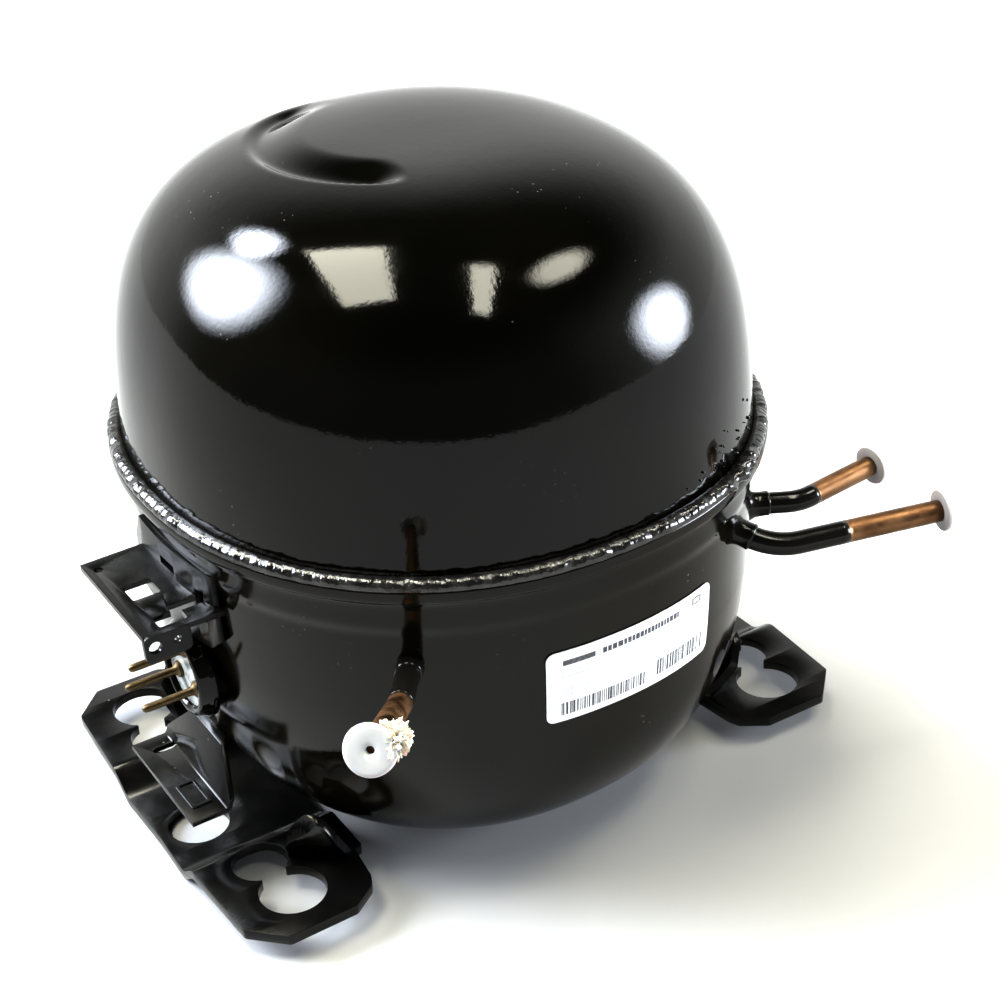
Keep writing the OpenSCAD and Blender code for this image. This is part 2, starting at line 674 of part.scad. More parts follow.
// Plastic suction muffler, with a neck that opens into the head's suction chamber
module suction_muffler() {
    color([0.88, 0.86, 0.78]) difference() {
        union() {
            translate([-45, -8, case_top]) cube([22, 42.5, 34]);
            translate([-34, 15, case_top + 34]) cylinder(r = 8, h = 6);
            translate([-45, 20, case_top + 40.2]) cube([41, 41, 4]);
            translate([-45, 20, case_top + 34]) cube([10, 12, 7]);
            translate([-7, head_y + 4, block_top]) cylinder(r = 5, h = 2);
        }
        translate([-43, -6, case_top + 2]) cube([18, 38.5, 30]);
        translate([-34, 15, case_top + 30]) cylinder(r = 6, h = 12.3);
        translate([-43, 22, case_top + 41.2]) cube([37, 37, 1.8]);
        translate([-7, head_y + 4, block_top - 1]) cylinder(r = 3, h = 5);
        translate([-50, 2, case_top + 22]) rotate([0, 90, 0]) cylinder(r = 4, h = 8);
    }
}
// Steel cup of the discharge muffler, closed by the table under it
module discharge_muffler() {
    color([0.5, 0.5, 0.52]) translate([muffler_x, muffler_y, case_top]) difference() {
        cylinder(r = 13, h = 20);
        translate([0, 0, -1]) cylinder(r = 11.6, h = 19.6);
        translate([0, 0, 10]) cylinder(d = loop_od, h = 12);
    }
}

// Point of a smooth curve through the listed points, and a round tube along it
function spline(p, i, t) = let (a = p[max(i - 1, 0)], b = p[i], c = p[i + 1],
    d = p[min(i + 2, len(p) - 1)])
    0.5 * (2 * b + (c - a) * t + (2 * a - 5 * b + 4 * c - d) * t * t + (3 * b - a - 3 * c + d) * t * t * t);
module curved_tube(p, d, sides, steps) {
    path = concat([for (i = [0:len(p) - 2]) for (k = [0:steps - 1]) spline(p, i, k / steps)], [p[len(p) - 1]]);
    ring_stack(tube_loops(path, d, sides));
}
// Internal discharge line: a springy loop from the wall up and over to the muffler
shock_route = [[42.6, -68.4, 86], [36, -58, 88], [20, -52, 94], [4, -44, 104], [2, -34, 115],
    [14, -26, 122], [28, -24, 124], [36, -22, 120], [36, -22, 110.3]];
module shock_loop() {
    color([0.72, 0.4, 0.25]) curved_tube(shock_route, loop_od - 0.2, 8, 4);
}

module lead_connector() {
    color([0.85, 0.82, 0.7]) difference() {
        translate([-78.5, terminal_y - 10, terminal_z - 10]) cube([10.5, 20, 20]);
        terminal_axis() for (i = [0:2])
            translate([pin_spot(i)[0], pin_spot(i)[1], 60]) cylinder(r = pin_root_r, h = 30);
    }
}
module motor_leads() {
    top = stator_z + stack_h + 13.5;
    for (i = [0:2]) color([[0.8, 0.1, 0.1], [0.9, 0.9, 0.9], [0.15, 0.15, 0.4]][i])
        translate([0, terminal_y - 6 + 6 * i, 0]) curved_tube([[-73, 0, terminal_z + 10],
            [-73, 0, top - 4], [-67, 0, top + 1.2], [-56, 0, top + 3], [-44, 0, top + 1.3]], 2.2, 8, 3);
}

// Crankshaft with its web, counterweight, crank pin and eccentric oil bore
module crankshaft() {
    color([0.45, 0.45, 0.47]) difference() {
        union() {
            post(shaft_low, web_z0, shaft_d / 2);
            post(web_z0, web_z1, 14);
            translate([0, throw, web_z0]) cylinder(r = 9, h = web_z1 - web_z0);
            intersection() {
                post(web_z0, web_z1, 22);
                translate([-22, -22, web_z0]) cube([44, 18, web_z1 - web_z0]);
            }
            translate([0, throw, web_z1]) cylinder(r = crank_pin_r, h = pin_top - web_z1);
        }
        translate([0, throw / 2, shaft_low - 1]) cylinder(r = oil_bore_r, h = pin_top - shaft_low + 2);
    }
}
module oil_pickup() {
    color([0.6, 0.62, 0.64]) translate([0, 0, shaft_low]) rotate([180, 0, 0]) difference() {
        union() {
            cylinder(r = 7, h = 3);
            translate([0, 0, 3]) cylinder(r1 = 7, r2 = 3.2, h = 6);
        }
        translate([0, throw / -2, -1]) cylinder(r = oil_bore_r, h = 3);
        translate([0, 0, 1.5]) cylinder(r1 = 5.4, r2 = 1.6, h = 8);
    }
}
// A round cap that turns in the oil bore's upper end and throws the oil outwards
module oil_vent_cap() {
    color([0.72, 0.6, 0.35]) translate([0, throw / 2, 0]) {
        post(pin_top - 6, pin_top + 0.05, oil_bore_r - running);
        post(pin_top + 0.05, pin_top + 1.3, 2.2);
    }
}
module slide_block() {
    color([0.62, 0.62, 0.64]) difference() {
        translate([-block_x / 2, throw - block_y / 2, cylinder_z - block_h / 2])
            cube([block_x, block_y, block_h]);
        translate([0, throw, 80]) cylinder(r = crank_pin_r + running, h = 60);
    }
}
// Piston in one piece with the cross-slide yoke
module piston_yoke() {
    half_y = block_y / 2 + running;
    color([0.58, 0.58, 0.6]) union() {
        difference() {
            translate([-slot_x / 2 - yoke_wall, throw - half_y - yoke_wall, cylinder_z - block_h / 2])
                cube([slot_x + 2 * yoke_wall, 2 * (half_y + yoke_wall), block_h]);
            translate([-slot_x / 2, throw - half_y, cylinder_z - block_h])
                cube([slot_x, 2 * half_y, 2 * block_h]);
        }
        along_cylinder() translate([0, 0, throw + half_y + yoke_wall])
            cylinder(r = 6, h = piston_face - throw - half_y - yoke_wall);
        along_cylinder() translate([0, 0, piston_face - piston_len])
            cylinder(r = bore / 2 - running, h = piston_len);
    }
}

upper_shell();
lower_shell();
weld_bead();
base_plate_left();
base_plate_right();
terminal_guard_upper();
terminal_guard_lower();
terminal_cup();
terminal_glass();
terminal_pins();
discharge_pipe();
suction_pipe();
process_pipe();
pipe_sleeves();
discharge_plug();
suction_plug();
process_plug();
rating_label();
lead_connector();
motor_leads();
spring_seats();
suspension_springs();
spring_caps();
stator_core();
stator_windings();
stator_bolts();
crankcase();
main_bearing_bush();
cylinder_gasket();
valve_plate();
suction_reed();
discharge_reed();
head_gasket();
cylinder_head();
head_screws();
suction_muffler();
discharge_muffler();
shock_loop();
thrust_washer();
crankshaft();
rotor_core();
rotor_end_rings();
oil_pickup();
oil_vent_cap();
slide_block();
piston_yoke();
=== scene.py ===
import json
import math
import random

import bmesh
import bpy
from mathutils import Matrix, Vector, noise


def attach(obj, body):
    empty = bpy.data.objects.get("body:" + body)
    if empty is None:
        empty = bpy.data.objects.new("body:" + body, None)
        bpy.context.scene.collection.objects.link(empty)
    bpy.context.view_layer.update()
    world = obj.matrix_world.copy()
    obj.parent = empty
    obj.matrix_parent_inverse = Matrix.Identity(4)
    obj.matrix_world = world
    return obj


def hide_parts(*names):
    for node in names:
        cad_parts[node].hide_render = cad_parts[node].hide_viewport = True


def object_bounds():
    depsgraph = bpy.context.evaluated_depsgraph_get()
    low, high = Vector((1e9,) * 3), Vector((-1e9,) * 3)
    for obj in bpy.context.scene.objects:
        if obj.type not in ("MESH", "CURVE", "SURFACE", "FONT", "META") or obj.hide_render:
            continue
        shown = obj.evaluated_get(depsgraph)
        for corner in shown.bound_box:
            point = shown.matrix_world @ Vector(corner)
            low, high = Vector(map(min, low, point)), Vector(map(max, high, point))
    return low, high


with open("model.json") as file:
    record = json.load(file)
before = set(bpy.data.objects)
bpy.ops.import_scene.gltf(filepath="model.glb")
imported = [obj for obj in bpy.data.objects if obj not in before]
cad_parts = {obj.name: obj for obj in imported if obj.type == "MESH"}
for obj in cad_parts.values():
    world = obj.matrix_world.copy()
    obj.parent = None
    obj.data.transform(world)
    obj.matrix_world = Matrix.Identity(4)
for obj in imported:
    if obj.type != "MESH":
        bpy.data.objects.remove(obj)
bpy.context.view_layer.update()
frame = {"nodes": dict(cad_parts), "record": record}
rng = random.Random(41)

# Millimetres throughout the mesh code; objects are made in metres.
MM = 0.001

# Shell, as in the CAD model
SHELL_A = 86.0
SHELL_B = 91.0
SEAM_Z = 105.0
DOME_H = 80.0
PAN_H = 109.0
SHEET_T = 3.0
PLAN_N = 2.16
DOME_P, DOME_Q, DOME_TAPER = 3.2, 3.5, 0.034
PAN_P, PAN_Q = 3.5, 4.1
LIP_OUT = 3.9

# The dome's skirt goes down inside the pan's lip, and the pan's wall is a little narrower
SKIRT = 3.4
PAN_INSET = 0.2
LIP_INNER_Z = 101.5

# Crescent pressed into the dome: centre and radius of its deepest line, width of the slope
# on each side, depth, and the angles in degrees where it starts and ends and fades out
CRESCENT_C = (4.0, 14.0)
CRESCENT_R = 39.0
CRESCENT_IN = 12.0
CRESCENT_OUT = 4.5
CRESCENT_DEPTH = 1.9
CRESCENT_FROM, FADE_FROM = 96, 24
CRESCENT_TO, FADE_TO = 243, 15
CRESCENT_MID = 173
CRESCENT_TIP = 9.0

# Pipes: root, corner, end, bend radius, and how much of the length is painted
PIPE_OD = 6.35
PIPE_ID = 4.75
PIPES = {
    "discharge": ((46, -72.5, 85), (55.5, -85, 79.5), (103, -98.2, 80.5), 20, 0.57),
    "suction": ((74, -44, 66), (91, -53.5, 66), (119, -52, 67.5), 14, 0.52),
    "process": ((-48.5, -68.6, 78.5), (-63, -87, 80), (-86, -116, 95.5), 22, 0.36),
}


# ---------------------------------------------------------------- small maths

def spow(v, e):
    return math.copysign(abs(v) ** e, v)


def smooth(v):
    c = min(max(v, 0.0), 1.0)
    return c * c * (3 - 2 * c)


def plan_point(t, a, b):
    """Point of the shell's plan outline at angle t, for half axes a and b."""
    return a * spow(math.cos(t), 2 / PLAN_N), b * spow(math.sin(t), 2 / PLAN_N)


def pan_s(z):
    """Plan scale of the pan at height z."""
    u = min(max((SEAM_Z - z) / PAN_H, 0.0), 1.0)
    return (1 - u ** PAN_P) ** (1 / PAN_Q)


def crescent(x, y):
    """Depth of the pressed crescent at a point of the dome."""
    dx, dy = x - CRESCENT_C[0], y - CRESCENT_C[1]
    rho = math.hypot(dx, dy)
    ang = math.degrees(math.atan2(dy, dx)) % 360
    ends = 1 + 0.40 * ((ang - CRESCENT_MID) / 65) ** 2
    # The slope towards the crown is the gentler one, and both ends are rounded.
    inside = CRESCENT_R - rho
    tip = CRESCENT_TO - CRESCENT_TIP * (inside / CRESCENT_IN) ** 2
    along = smooth((ang - CRESCENT_FROM) / FADE_FROM) * smooth((tip - ang) / FADE_TO)
    side = smooth(1 - inside / CRESCENT_IN) if inside > 0 else smooth(1 + inside / CRESCENT_OUT)
    return CRESCENT_DEPTH * ends * along * side


def ripple(p, scale, seed=0.0):
    return noise.noise(Vector((p[0] / scale + seed, p[1] / scale, p[2] / scale)))


def wall_x(y, z):
    """Half width of the pan along X at distance y and height z."""
    s = pan_s(z)
    return SHELL_A * s * max(1 - (abs(y) / (SHELL_B * s)) ** PLAN_N, 0) ** (1 / PLAN_N)


# ---------------------------------------------------------------- mesh helpers

def mesh_object(name, verts, faces, mat, smooth_angle=None, mm=True):
    mesh = bpy.data.meshes.new(name)
    k = MM if mm else 1.0
    mesh.from_pydata([(v[0] * k, v[1] * k, v[2] * k) for v in verts], [], faces)
    mesh.validate()
    obj = bpy.data.objects.new(name, mesh)
    bpy.context.scene.collection.objects.link(obj)
    for m in mat if isinstance(mat, (list, tuple)) else [mat]:
        mesh.materials.append(m)
    tidy_normals(obj)
    shade(obj, smooth_angle)
    return obj


def tidy_normals(obj):
    bm = bmesh.new()
    bm.from_mesh(obj.data)
    bmesh.ops.remove_doubles(bm, verts=bm.verts, dist=1e-7)
    bmesh.ops.recalc_face_normals(bm, faces=bm.faces)
    bm.to_mesh(obj.data)
    bm.free()


def shade(obj, angle=None):
    """Smooth shading, kept sharp on edges steeper than angle in degrees."""
    obj.data.polygons.foreach_set("use_smooth", [True] * len(obj.data.polygons))
    if angle is not None:
        obj.data.set_sharp_from_angle(angle=math.radians(angle))


def stack(rings, closed_loop=False):
    """Vertices and faces through a stack of equal rings."""
    n = len(rings[0])
    m = len(rings)
    verts = [p for ring in rings for p in ring]
    faces = []
    for j in range(m if closed_loop else m - 1):
        a, b = j * n, (j + 1) % m * n
        for i in range(n):
            k = (i + 1) % n
            faces.append((a + i, a + k, b + k, b + i))
    if not closed_loop:
        faces.append(tuple(range(n - 1, -1, -1)))
        faces.append(tuple((m - 1) * n + i for i in range(n)))
    return verts, faces


def frame_at(p, d):
    """Matrix whose Z axis points along d from p, in millimetres."""
    z = Vector(d).normalized()
    x = Vector((0, 0, 1)).cross(z)
    x = x.normalized() if x.length > 1e-4 else Vector((1, 0, 0))
    y = z.cross(x)
    m = Matrix((x, y, z)).transposed().to_4x4()
    m.translation = Vector(p)
    return m


def lathe(profile, steps, matrix, wobble=None):
    """Rings of a profile of (radius, height) turned round the matrix's Z axis."""
    rings = []
    for k in range(steps):
        t = 2 * math.pi * k / steps
        ring = []
        for r, h in profile:
            if wobble:
                r = r + wobble(t, r, h)
            v = matrix @ Vector((r * math.cos(t), r * math.sin(t), h))
            ring.append(tuple(v))
        rings.append(ring)
    return stack(rings, closed_loop=True)


def arc(cx, cy, r, a0, a1, n):
    return [(cx + r * math.cos(math.radians(a0 + (a1 - a0) * i / n)),
             cy + r * math.sin(math.radians(a0 + (a1 - a0) * i / n))) for i in range(n + 1)]


def rounded(points, r, n=5):
    """A polygon's corners replaced by short curves of about radius r."""
    out = []
    m = len(points)
    for i in range(m):
        p, a, b = Vector(points[i]), Vector(points[i - 1]), Vector(points[(i + 1) % m])
        da, db = (a - p), (b - p)
        cut = min(r, da.length * 0.45, db.length * 0.45)
        s, e = p + da.normalized() * cut, p + db.normalized() * cut
        for k in range(n + 1):
            t = k / n
            q = s * (1 - t) ** 2 + p * 2 * t * (1 - t) + e * t * t
            out.append((q.x, q.y))
    return out


def prism(outline, z0, z1, matrix=None):
    """A straight prism over an outline, as raw vertices and faces."""
    n = len(outline)
    verts = [(x, y, z0) for x, y in outline] + [(x, y, z1) for x, y in outline]
    faces = [tuple(range(n - 1, -1, -1)), tuple(range(n, 2 * n))]
    faces += [(i, (i + 1) % n, n + (i + 1) % n, n + i) for i in range(n)]
    if matrix:
        verts = [tuple(matrix @ Vector(v)) for v in verts]
    return verts, faces


def box_part(x0, x1, y0, y1, z0, z1):
    return prism([(x0, y0), (x1, y0), (x1, y1), (x0, y1)], z0, z1)


def slab(front, back, cols, rows):
    """A closed sheet between two grids of points, given row by row."""
    w = cols + 1
    off = len(front)
    faces = []
    for j in range(rows):
        for i in range(cols):
            a = j * w + i
            faces.append((a, a + 1, a + w + 1, a + w))
            faces.append((off + a, off + a + w, off + a + w + 1, off + a + 1))
    rim = list(range(w)) + [j * w + cols for j in range(1, rows + 1)]
    rim += [rows * w + i for i in range(cols - 1, -1, -1)] + [j * w for j in range(rows - 1, 0, -1)]
    for a, b in zip(rim, rim[1:] + rim[:1]):
        faces.append((a, off + a, off + b, b))
    return front + back, faces


def mirrored(part, mx, my):
    return [(x * mx, y * my, z) for x, y, z in part[0]], part[1]


def append_part(verts, faces, part):
    """Adds a raw part to lists of vertices and faces."""
    base = len(verts)
    verts += part[0]
    faces += [tuple(i + base for i in face) for face in part[1]]


# A prism's outline laid in the YZ plane, so that the prism runs along X
ALONG_X = Matrix(((0, 0, 1, 0), (1, 0, 0, 0), (0, 1, 0, 0), (0, 0, 0, 1)))


def along_y(start=0.0):
    """A prism's outline laid in the XZ plane at y = start, so that the prism runs along Y."""
    return Matrix(((1, 0, 0, 0), (0, 0, 1, start), (0, 1, 0, 0), (0, 0, 0, 1)))


def scratch(part):
    """A throwaway object used as a boolean operand."""
    return mesh_object("scratch", part[0], part[1], [])


def carve(obj, parts, operation):
    """Booleans each raw part into obj and applies the result."""
    for part in parts:
        tool = scratch(part)
        mod = obj.modifiers.new("cut", "BOOLEAN")
        mod.operation = operation
        mod.solver = "EXACT"
        mod.object = tool
        bake(obj)
        bpy.data.objects.remove(tool, do_unlink=True)


def bake(obj):
    """Replaces obj's mesh by what its modifiers make of it."""
    deps = bpy.context.evaluated_depsgraph_get()
    deps.update()
    mesh = bpy.data.meshes.new_from_object(obj.evaluated_get(deps))
    old = obj.data
    obj.modifiers.clear()
    obj.data = mesh
    mesh.name = old.name
    bpy.data.meshes.remove(old)


def bevelled(obj, width, segments=2, angle=32):
    mod = obj.modifiers.new("bevel", "BEVEL")
    mod.width = width * MM
    mod.segments = segments
    mod.limit_method = "ANGLE"
    mod.angle_limit = math.radians(angle)
    mod.harden_normals = False
    mod.use_clamp_overlap = True
    bake(obj)
    shade(obj, 34)


def place(obj, body, slot, *nodes):
    """Rides a finished piece on its body's empty and hides the nodes it stands for; slot is not used."""
    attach(obj, body)
    if nodes:
        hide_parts(*nodes)
    return obj


# ---------------------------------------------------------------- materials

class Shader:
    """A Principled material and short calls that add nodes to it."""

    def __init__(self, name, color, rough, metal=0.0, **sockets):
        self.mat = bpy.data.materials.new(name)
        self.mat.use_nodes = True
        self.tree = self.mat.node_tree
        self.bsdf = self.tree.nodes["Principled BSDF"]
        self.set("Base Color", (*color, 1))
        self.set("Roughness", rough)
        self.set("Metallic", metal)
        for key, value in sockets.items():
            self.set(key.replace("_", " "), value)
        self.coord = self.tree.nodes.new("ShaderNodeTexCoord").outputs["Object"]
        self.height = None

    def set(self, key, value):
        self.bsdf.inputs[key].default_value = value

    def link(self, a, b):
        self.tree.links.new(a, b)

    def node(self, kind, **props):
        n = self.tree.nodes.new(kind)
        for key, value in props.items():
            setattr(n, key, value)
        return n

    def noise(self, scale, detail=3, rough=0.5):
        """Noise with features of about 1/scale metres."""
        n = self.node("ShaderNodeTexNoise")
        n.inputs["Scale"].default_value = scale
        n.inputs["Detail"].default_value = detail
        n.inputs["Roughness"].default_value = rough
        self.link(self.coord, n.inputs["Vector"])
        return n.outputs["Fac"]

    def cells(self, scale, size):
        """1 in small round dots, one or fewer to a cell, and 0 between them."""
        v = self.node("ShaderNodeTexVoronoi")
        v.inputs["Scale"].default_value = scale
        self.link(self.coord, v.inputs["Vector"])
        return self.ramp(v.outputs["Distance"], size, size * 0.6)

    def ramp(self, source, low, high, out=(0.0, 1.0)):
        m = self.node("ShaderNodeMapRange")
        m.interpolation_type = "SMOOTHSTEP"
        m.inputs["From Min"].default_value = low
        m.inputs["From Max"].default_value = high
        m.inputs["To Min"].default_value = out[0]
        m.inputs["To Max"].default_value = out[1]
        self.link(source, m.inputs["Value"])
        return m.outputs[0]

    def math(self, op, a, b):
        m = self.node("ShaderNodeMath", operation=op)
        for k, v in enumerate((a, b)):
            if isinstance(v, (int, float)):
                m.inputs[k].default_value = v
            else:
                self.link(v, m.inputs[k])
        return m.outputs[0]

    def mix(self, fac, a, b):
        m = self.node("ShaderNodeMix", data_type="RGBA")
        self.link(fac, m.inputs["Factor"])
        for socket, v in ((m.inputs[6], a), (m.inputs[7], b)):
            if isinstance(v, tuple):
                socket.default_value = (*v, 1)
            else:
                self.link(v, socket)
        return m.outputs[2]

    def color(self, source):
        self.link(source, self.bsdf.inputs["Base Color"])

    def rough(self, source):
        self.link(source, self.bsdf.inputs["Roughness"])

    def bump(self, source, strength, distance):
        """Adds a bump; distance is in metres and later bumps ride on earlier ones."""
        b = self.node("ShaderNodeBump")
        b.inputs["Strength"].default_value = strength
        b.inputs["Distance"].default_value = distance
        self.link(source, b.inputs["Height"])
        if self.height:
            self.link(self.height, b.inputs["Normal"])
        self.height = b.outputs["Normal"]
        self.link(self.height, self.bsdf.inputs["Normal"])


# How strongly the black paint reflects, as the shader's specular level
PAINT_GLOSS = 0.19


def enamel(name, color, tint, rough, peel, specks=0.4):
    """Baked black enamel: orange peel, faint tone patches and a little dust."""
    s = Shader(name, color, rough[0], 0.0, Specular_IOR_Level=PAINT_GLOSS)
    tone = s.mix(s.ramp(s.noise(22, 3), 0.35, 0.7), color, tint)
    dust = s.math("MULTIPLY", s.cells(420, 0.13), s.ramp(s.noise(38, 2), 0.56, 0.72))
    s.color(s.mix(s.math("MULTIPLY", dust, specks), tone, (0.16, 0.15, 0.13)))
    patch = s.ramp(s.noise(55, 4), 0.3, 0.75, rough)
    s.rough(s.math("ADD", patch, s.math("MULTIPLY", dust, 0.3)))
    s.bump(s.noise(900, 2), 1.0, peel * 0.00001)
    s.bump(s.noise(160, 2), 1.0, peel * 0.00002)
    return s.mat


def plate_paint(name):
    """Dip-painted black on stamped steel, with small scuffs and dust."""
    s = Shader(name, (0.005, 0.005, 0.005), 0.2, Specular_IOR_Level=PAINT_GLOSS)
    tone = s.mix(s.ramp(s.noise(60, 4), 0.4, 0.7), (0.0016, 0.0016, 0.0015), (0.004, 0.0038, 0.0032))
    marks = s.math("MULTIPLY", s.cells(230, 0.11), s.ramp(s.noise(26, 2), 0.58, 0.68))
    s.color(s.mix(s.math("MULTIPLY", marks, 0.45), tone, (0.20, 0.19, 0.17)))
    s.rough(s.ramp(s.noise(75, 4), 0.3, 0.7, (0.13, 0.28)))
    s.bump(s.noise(500, 3), 1.0, 0.00003)
    s.bump(s.noise(110, 2), 1.0, 0.00006)
    return s.mat


def weld_paint(name):
    s = Shader(name, (0.006, 0.006, 0.006), 0.1, Specular_IOR_Level=0.5)
    s.color(s.mix(s.ramp(s.noise(260, 3), 0.45, 0.65), (0.005, 0.005, 0.005), (0.016, 0.015, 0.014)))
    s.rough(s.ramp(s.noise(340, 4), 0.3, 0.7, (0.05, 0.2)))
    s.bump(s.noise(1100, 3), 1.0, 0.00012)
    return s.mat


def copper(name):
    """Drawn copper gone brown, with brighter patches and darker stains."""
    s = Shader(name, (0.33, 0.15, 0.08), 0.34, 1.0)
    brown = s.mix(s.ramp(s.noise(120, 4, 0.5), 0.3, 0.72), (0.105, 0.054, 0.026), (0.19, 0.104, 0.052))
    stain = s.ramp(s.noise(430, 4), 0.52, 0.78)
    s.color(s.mix(s.math("MULTIPLY", stain, 0.35), brown, (0.07, 0.030, 0.018)))
    s.rough(s.ramp(s.noise(260, 4), 0.3, 0.7, (0.34, 0.55)))
    s.bump(s.noise(1300, 3), 0.12, 0.0002)
    return s.mat


def plastic(name, color, rough=0.42, sss=0.25):
    s = Shader(name, color, rough, 0.0, Subsurface_Weight=sss, Subsurface_Scale=0.003)
    s.color(s.mix(s.ramp(s.noise(200, 3), 0.4, 0.7), color, tuple(c * 0.93 for c in color)))
    s.rough(s.ramp(s.noise(300, 3), 0.3, 0.7, (rough - 0.08, rough + 0.1)))
    s.bump(s.noise(1500, 2), 0.08, 0.0002)
    return s.mat


def film(name):
    s = Shader(name, (0.62, 0.63, 0.64), 0.33)
    s.color(s.mix(s.ramp(s.noise(45, 3), 0.4, 0.65), (0.62, 0.63, 0.64), (0.55, 0.565, 0.58)))
    s.rough(s.ramp(s.noise(160, 3), 0.35, 0.65, (0.26, 0.42)))
    s.bump(s.noise(120, 2), 0.1, 0.0004)
    return s.mat


def print_ink(name, color):
    s = Shader(name, color, 0.5)
    s.color(s.mix(s.ramp(s.noise(1800, 2), 0.5, 0.7), color, tuple(min(c * 1.8 + 0.05, 1) for c in color)))
    return s.mat


def metal(name, color, rough, grain=400, tint=0.75):
    s = Shader(name, color, rough, 1.0)
    dark = tuple(c * tint for c in color)
    s.color(s.mix(s.ramp(s.noise(grain * 0.4, 4, 0.6), 0.35, 0.7), color, dark))
    s.rough(s.ramp(s.noise(grain, 4, 0.6), 0.3, 0.7, (max(rough - 0.1, 0.08), rough + 0.15)))
    s.bump(s.noise(grain * 2, 3, 0.5), 0.15, 0.0002)
    return s.mat


def laminated(name):
    """Stacked electrical steel, with one fine line for each sheet."""
    sheet = 0.0005
    s = Shader(name, (0.30, 0.30, 0.32), 0.42, 1.0)
    wave = s.node("ShaderNodeTexWave", bands_direction="Z")
    wave.inputs["Scale"].default_value = 2 * math.pi / (sheet * 20)
    s.link(s.coord, wave.inputs["Vector"])
    s.color(s.mix(s.ramp(s.noise(90, 4), 0.4, 0.7), (0.30, 0.30, 0.32), (0.18, 0.15, 0.14)))
    s.bump(wave.outputs["Fac"], 0.4, 0.0002)
    return s.mat


def winding(name):
    """Varnished copper wire laid round the motor's axis."""
    s = Shader(name, (0.55, 0.22, 0.09), 0.3, 0.8)
    wave = s.node("ShaderNodeTexWave", wave_type="RINGS", rings_direction="Z")
    wave.inputs["Scale"].default_value = 160
    wave.inputs["Distortion"].default_value = 2.5
    s.link(s.coord, wave.inputs["Vector"])
    s.color(s.mix(s.ramp(wave.outputs["Fac"], 0.2, 0.8), (0.24, 0.08, 0.03), (0.62, 0.27, 0.11)))
    s.bump(wave.outputs["Fac"], 0.6, 0.0006)
    return s.mat


def sleeve_weave(name, color):
    s = Shader(name, color, 0.75)
    wave = s.node("ShaderNodeTexWave", bands_direction="DIAGONAL")
    wave.inputs["Scale"].default_value = 420
    s.link(s.coord, wave.inputs["Vector"])
    s.color(s.mix(wave.outputs["Fac"], tuple(c * 0.6 for c in color), color))
    s.bump(wave.outputs["Fac"], 0.5, 0.0003)
    return s.mat


def seal_glass(name):
    s = Shader(name, (0.22, 0.23, 0.22), 0.12, 0.0, Subsurface_Weight=0.1, Subsurface_Scale=0.002)
    s.color(s.mix(s.ramp(s.noise(230, 4), 0.42, 0.6), (0.26, 0.27, 0.26), (0.10, 0.105, 0.10)))
    s.bump(s.noise(700, 2), 0.15, 0.0004)
    return s.mat


BLACKS = (0.0005, 0.0005, 0.0003), (0.0010, 0.0009, 0.0004)
PAN_BLACKS = (0.0012, 0.0010, 0.0004), (0.0028, 0.0023, 0.0009)
PIPE_BLACKS = (0.002, 0.002, 0.0016), (0.004, 0.0036, 0.003)
MAT = {
    "black_enamel": enamel("black_enamel", *BLACKS, (0.05, 0.09), 1.3),
    "pan_enamel": enamel("pan_enamel", *PAN_BLACKS, (0.07, 0.15), 1.2, 0.6),
    "plate_paint": plate_paint("plate_paint"),
    "weld_metal": weld_paint("weld_metal"),
    "copper_pipe": copper("copper_pipe"),
    "pipe_paint": enamel("pipe_paint", *PIPE_BLACKS, (0.1, 0.2), 1.5, 0.2),
    "natural_plastic": plastic("natural_plastic", (0.41, 0.42, 0.435)),
    "torn_plastic": plastic("torn_plastic", (0.50, 0.485, 0.41), 0.6, 0.3),
    "label_film": film("label_film"),
    "label_ink": print_ink("label_ink", (0.035, 0.035, 0.04)),
    "label_grey": print_ink("label_grey", (0.42, 0.43, 0.46)),
    "glass_seal": seal_glass("glass_seal"),
    "pin_metal": metal("pin_metal", (0.10, 0.072, 0.038), 0.42, 700),
    "lead_sleeve": sleeve_weave("lead_sleeve", (0.5, 0.08, 0.05)),
    "spring_steel": metal("spring_steel", (0.45, 0.45, 0.47), 0.28, 600),
    "plain_steel": metal("plain_steel", (0.42, 0.42, 0.44), 0.34, 350),
    "laminations": laminated("laminations"),
    "copper_winding": winding("copper_winding"),
    "grey_iron": metal("grey_iron", (0.20, 0.20, 0.21), 0.5, 500, tint=0.6),
    "bearing_bronze": metal("bearing_bronze", (0.52, 0.36, 0.15), 0.3, 500),
    "gasket_sheet": plastic("gasket_sheet", (0.06, 0.10, 0.08), 0.8, 0.0),
    "cast_aluminium": metal("cast_aluminium", (0.6, 0.61, 0.63), 0.45, 300, tint=0.85),
}


# ---------------------------------------------------------------- shells

# Points round the shell
AROUND = 360


def dome_levels():
    """Plan scales from the wall to the crown, closest where the dome curves most."""
    wall = [math.cos(math.radians(48 * i / 44)) ** (2 / DOME_Q) for i in range(45)]
    crown = [wall[-1] * (1 - i / 76) for i in range(1, 76)]
    return wall + crown


def dome_ring(s, a, b, h, wavy=0.0):
    u = (1 - s ** DOME_Q) ** (1 / DOME_P)
    k = s * (1 - DOME_TAPER * u)
    ring = []
    for i in range(AROUND):
        x, y = plan_point(2 * math.pi * i / AROUND, a * k, b * k)
        z = SEAM_Z + h * u - crescent(x, y)
        push = 1 + wavy * ripple((x, y, z), 34) / a
        ring.append((x * push, y * push, z + wavy * ripple((x, y, z), 46, 7)))
    return ring


def flat_ring(a, b, z):
    return [(*plan_point(2 * math.pi * i / AROUND, a, b), z) for i in range(AROUND)]


